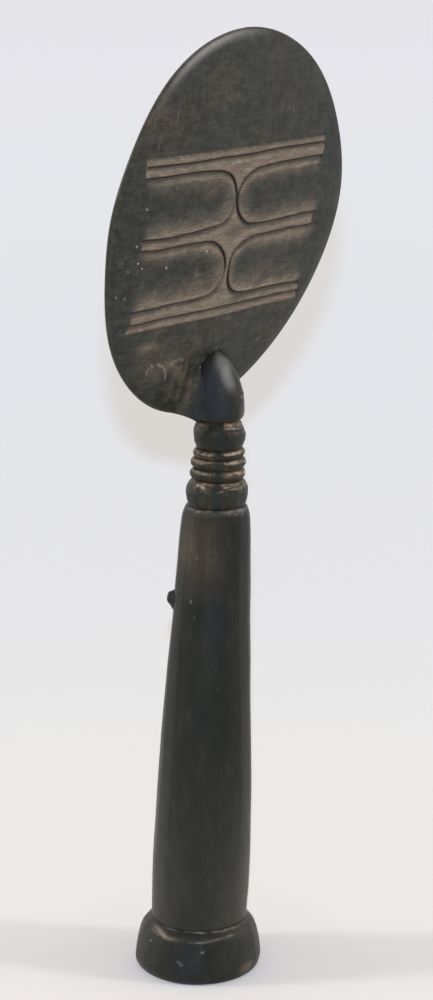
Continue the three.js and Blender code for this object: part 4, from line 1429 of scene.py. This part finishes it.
floor_mesh.materials.append(paper.surface(tone, 0.9, 0.1, {}))

world = bpy.data.worlds.new("studio")
world.use_nodes = True
bpy.context.scene.world = world
background = world.node_tree.nodes["Background"]
background.inputs["Color"].default_value = (*srgb(250, 251, 255), 1)
background.inputs["Strength"].default_value = 0.9

# %% [markdown]
# ## Light
#
# Most of the light is the pale world's. Two wide lamps at the sides and two small cool ones by
# the camera give the wood its sheen. Three more lamps light the floor alone. A cool one just
# over the lens leaves the disc's warm shadow, and its light doesn't fall off, so it tints the
# near and the far floor alike. Two low ones far out at the sides draw the foot's long shadows.

# %% Light
LOOK_AT = Vector((0, 0, 0.16))
OVER_LENS = 0.039
LOW_LAMP_LIFT = math.radians(14)


def lamp(name, kind, looks_along=None, **settings):
    """A lamp of a kind, with its settings."""
    made = add_object(name, bpy.data.lights.new(name, kind))
    for setting, value in settings.items():
        setattr(made.data, setting, value)
    if looks_along is not None:
        made.rotation_mode = "QUATERNION"
        made.rotation_quaternion = looks_along.to_track_quat("-Z", "Y")
    return made


def softbox(name, turn, distance, height, size, power, colour=(1, 1, 1)):
    """A square lamp that looks at the figure. Its turn is from the camera's side, to the right."""
    angle = FACING + math.radians(turn)
    at = Vector((distance * math.cos(angle), distance * math.sin(angle), height))
    wide, tall = size
    box = lamp(name, "AREA", LOOK_AT - at, shape="RECTANGLE", size=wide, size_y=tall,
               energy=power, color=colour)
    box.location = at


softbox("left_softbox", -92, 1.1, 0.45, (0.4, 0.8), 2)
softbox("right_softbox", 92, 1.1, 0.45, (0.4, 0.8), 2)
softbox("lamp_by_the_camera", 0, 0.93, 0.46, (0.1, 0.06), 0.3, (0.86, 0.92, 1))
softbox("blue_strip_behind_the_camera", 0, 1.3, 0.3, (0.06, 0.6), 0.55, (0.35, 0.55, 1))

cool_lamp = lamp(
    "cool_lamp_over_the_lens", "POINT", energy=60, color=(0.38, 0.57, 1), shadow_soft_size=0.007)
cool_lamp.location = camera.location + Vector((0, 0, OVER_LENS))
cool_lamp.data.use_nodes = True
tree = cool_lamp.data.node_tree
falloff = tree.nodes.new("ShaderNodeLightFalloff")
falloff.inputs["Strength"].default_value = 1
tree.links.new(falloff.outputs["Constant"], tree.nodes["Emission"].inputs["Strength"])

floor_lamps = [cool_lamp]
for name, turn in (("low_lamp_left", -85), ("low_lamp_right", 76.5)):
    angle = FACING + math.radians(turn)
    looks_along = Vector((-math.cos(angle), -math.sin(angle), -math.tan(LOW_LAMP_LIFT)))
    floor_lamps.append(lamp(
        name, "SUN", looks_along, energy=3.1, color=(0.755, 0.836, 1), angle=math.radians(10)))

floor_only = bpy.data.collections.new("floor_only")
floor_only.objects.link(floor)
for floor_lamp in floor_lamps:
    floor_lamp.light_linking.receiver_collection = floor_only
print("lamps for the floor alone:", len(floor_lamps))

bpy.context.scene.view_settings.view_transform = "Standard"

# %% [markdown]
# ## Sizes
#
# The dressed figure is meant to fill the same box as its solids. Both boxes are printed.

# %% Sizes
dressed_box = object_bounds()
sizes = {
    "cad": [list(corner) for corner in cad_box],
    "visual": [list(corner) for corner in dressed_box],
}
for name, (low, high) in sizes.items():
    print(name, "box, mm:", [round(1000 * (b - a), 2) for a, b in zip(low, high)])
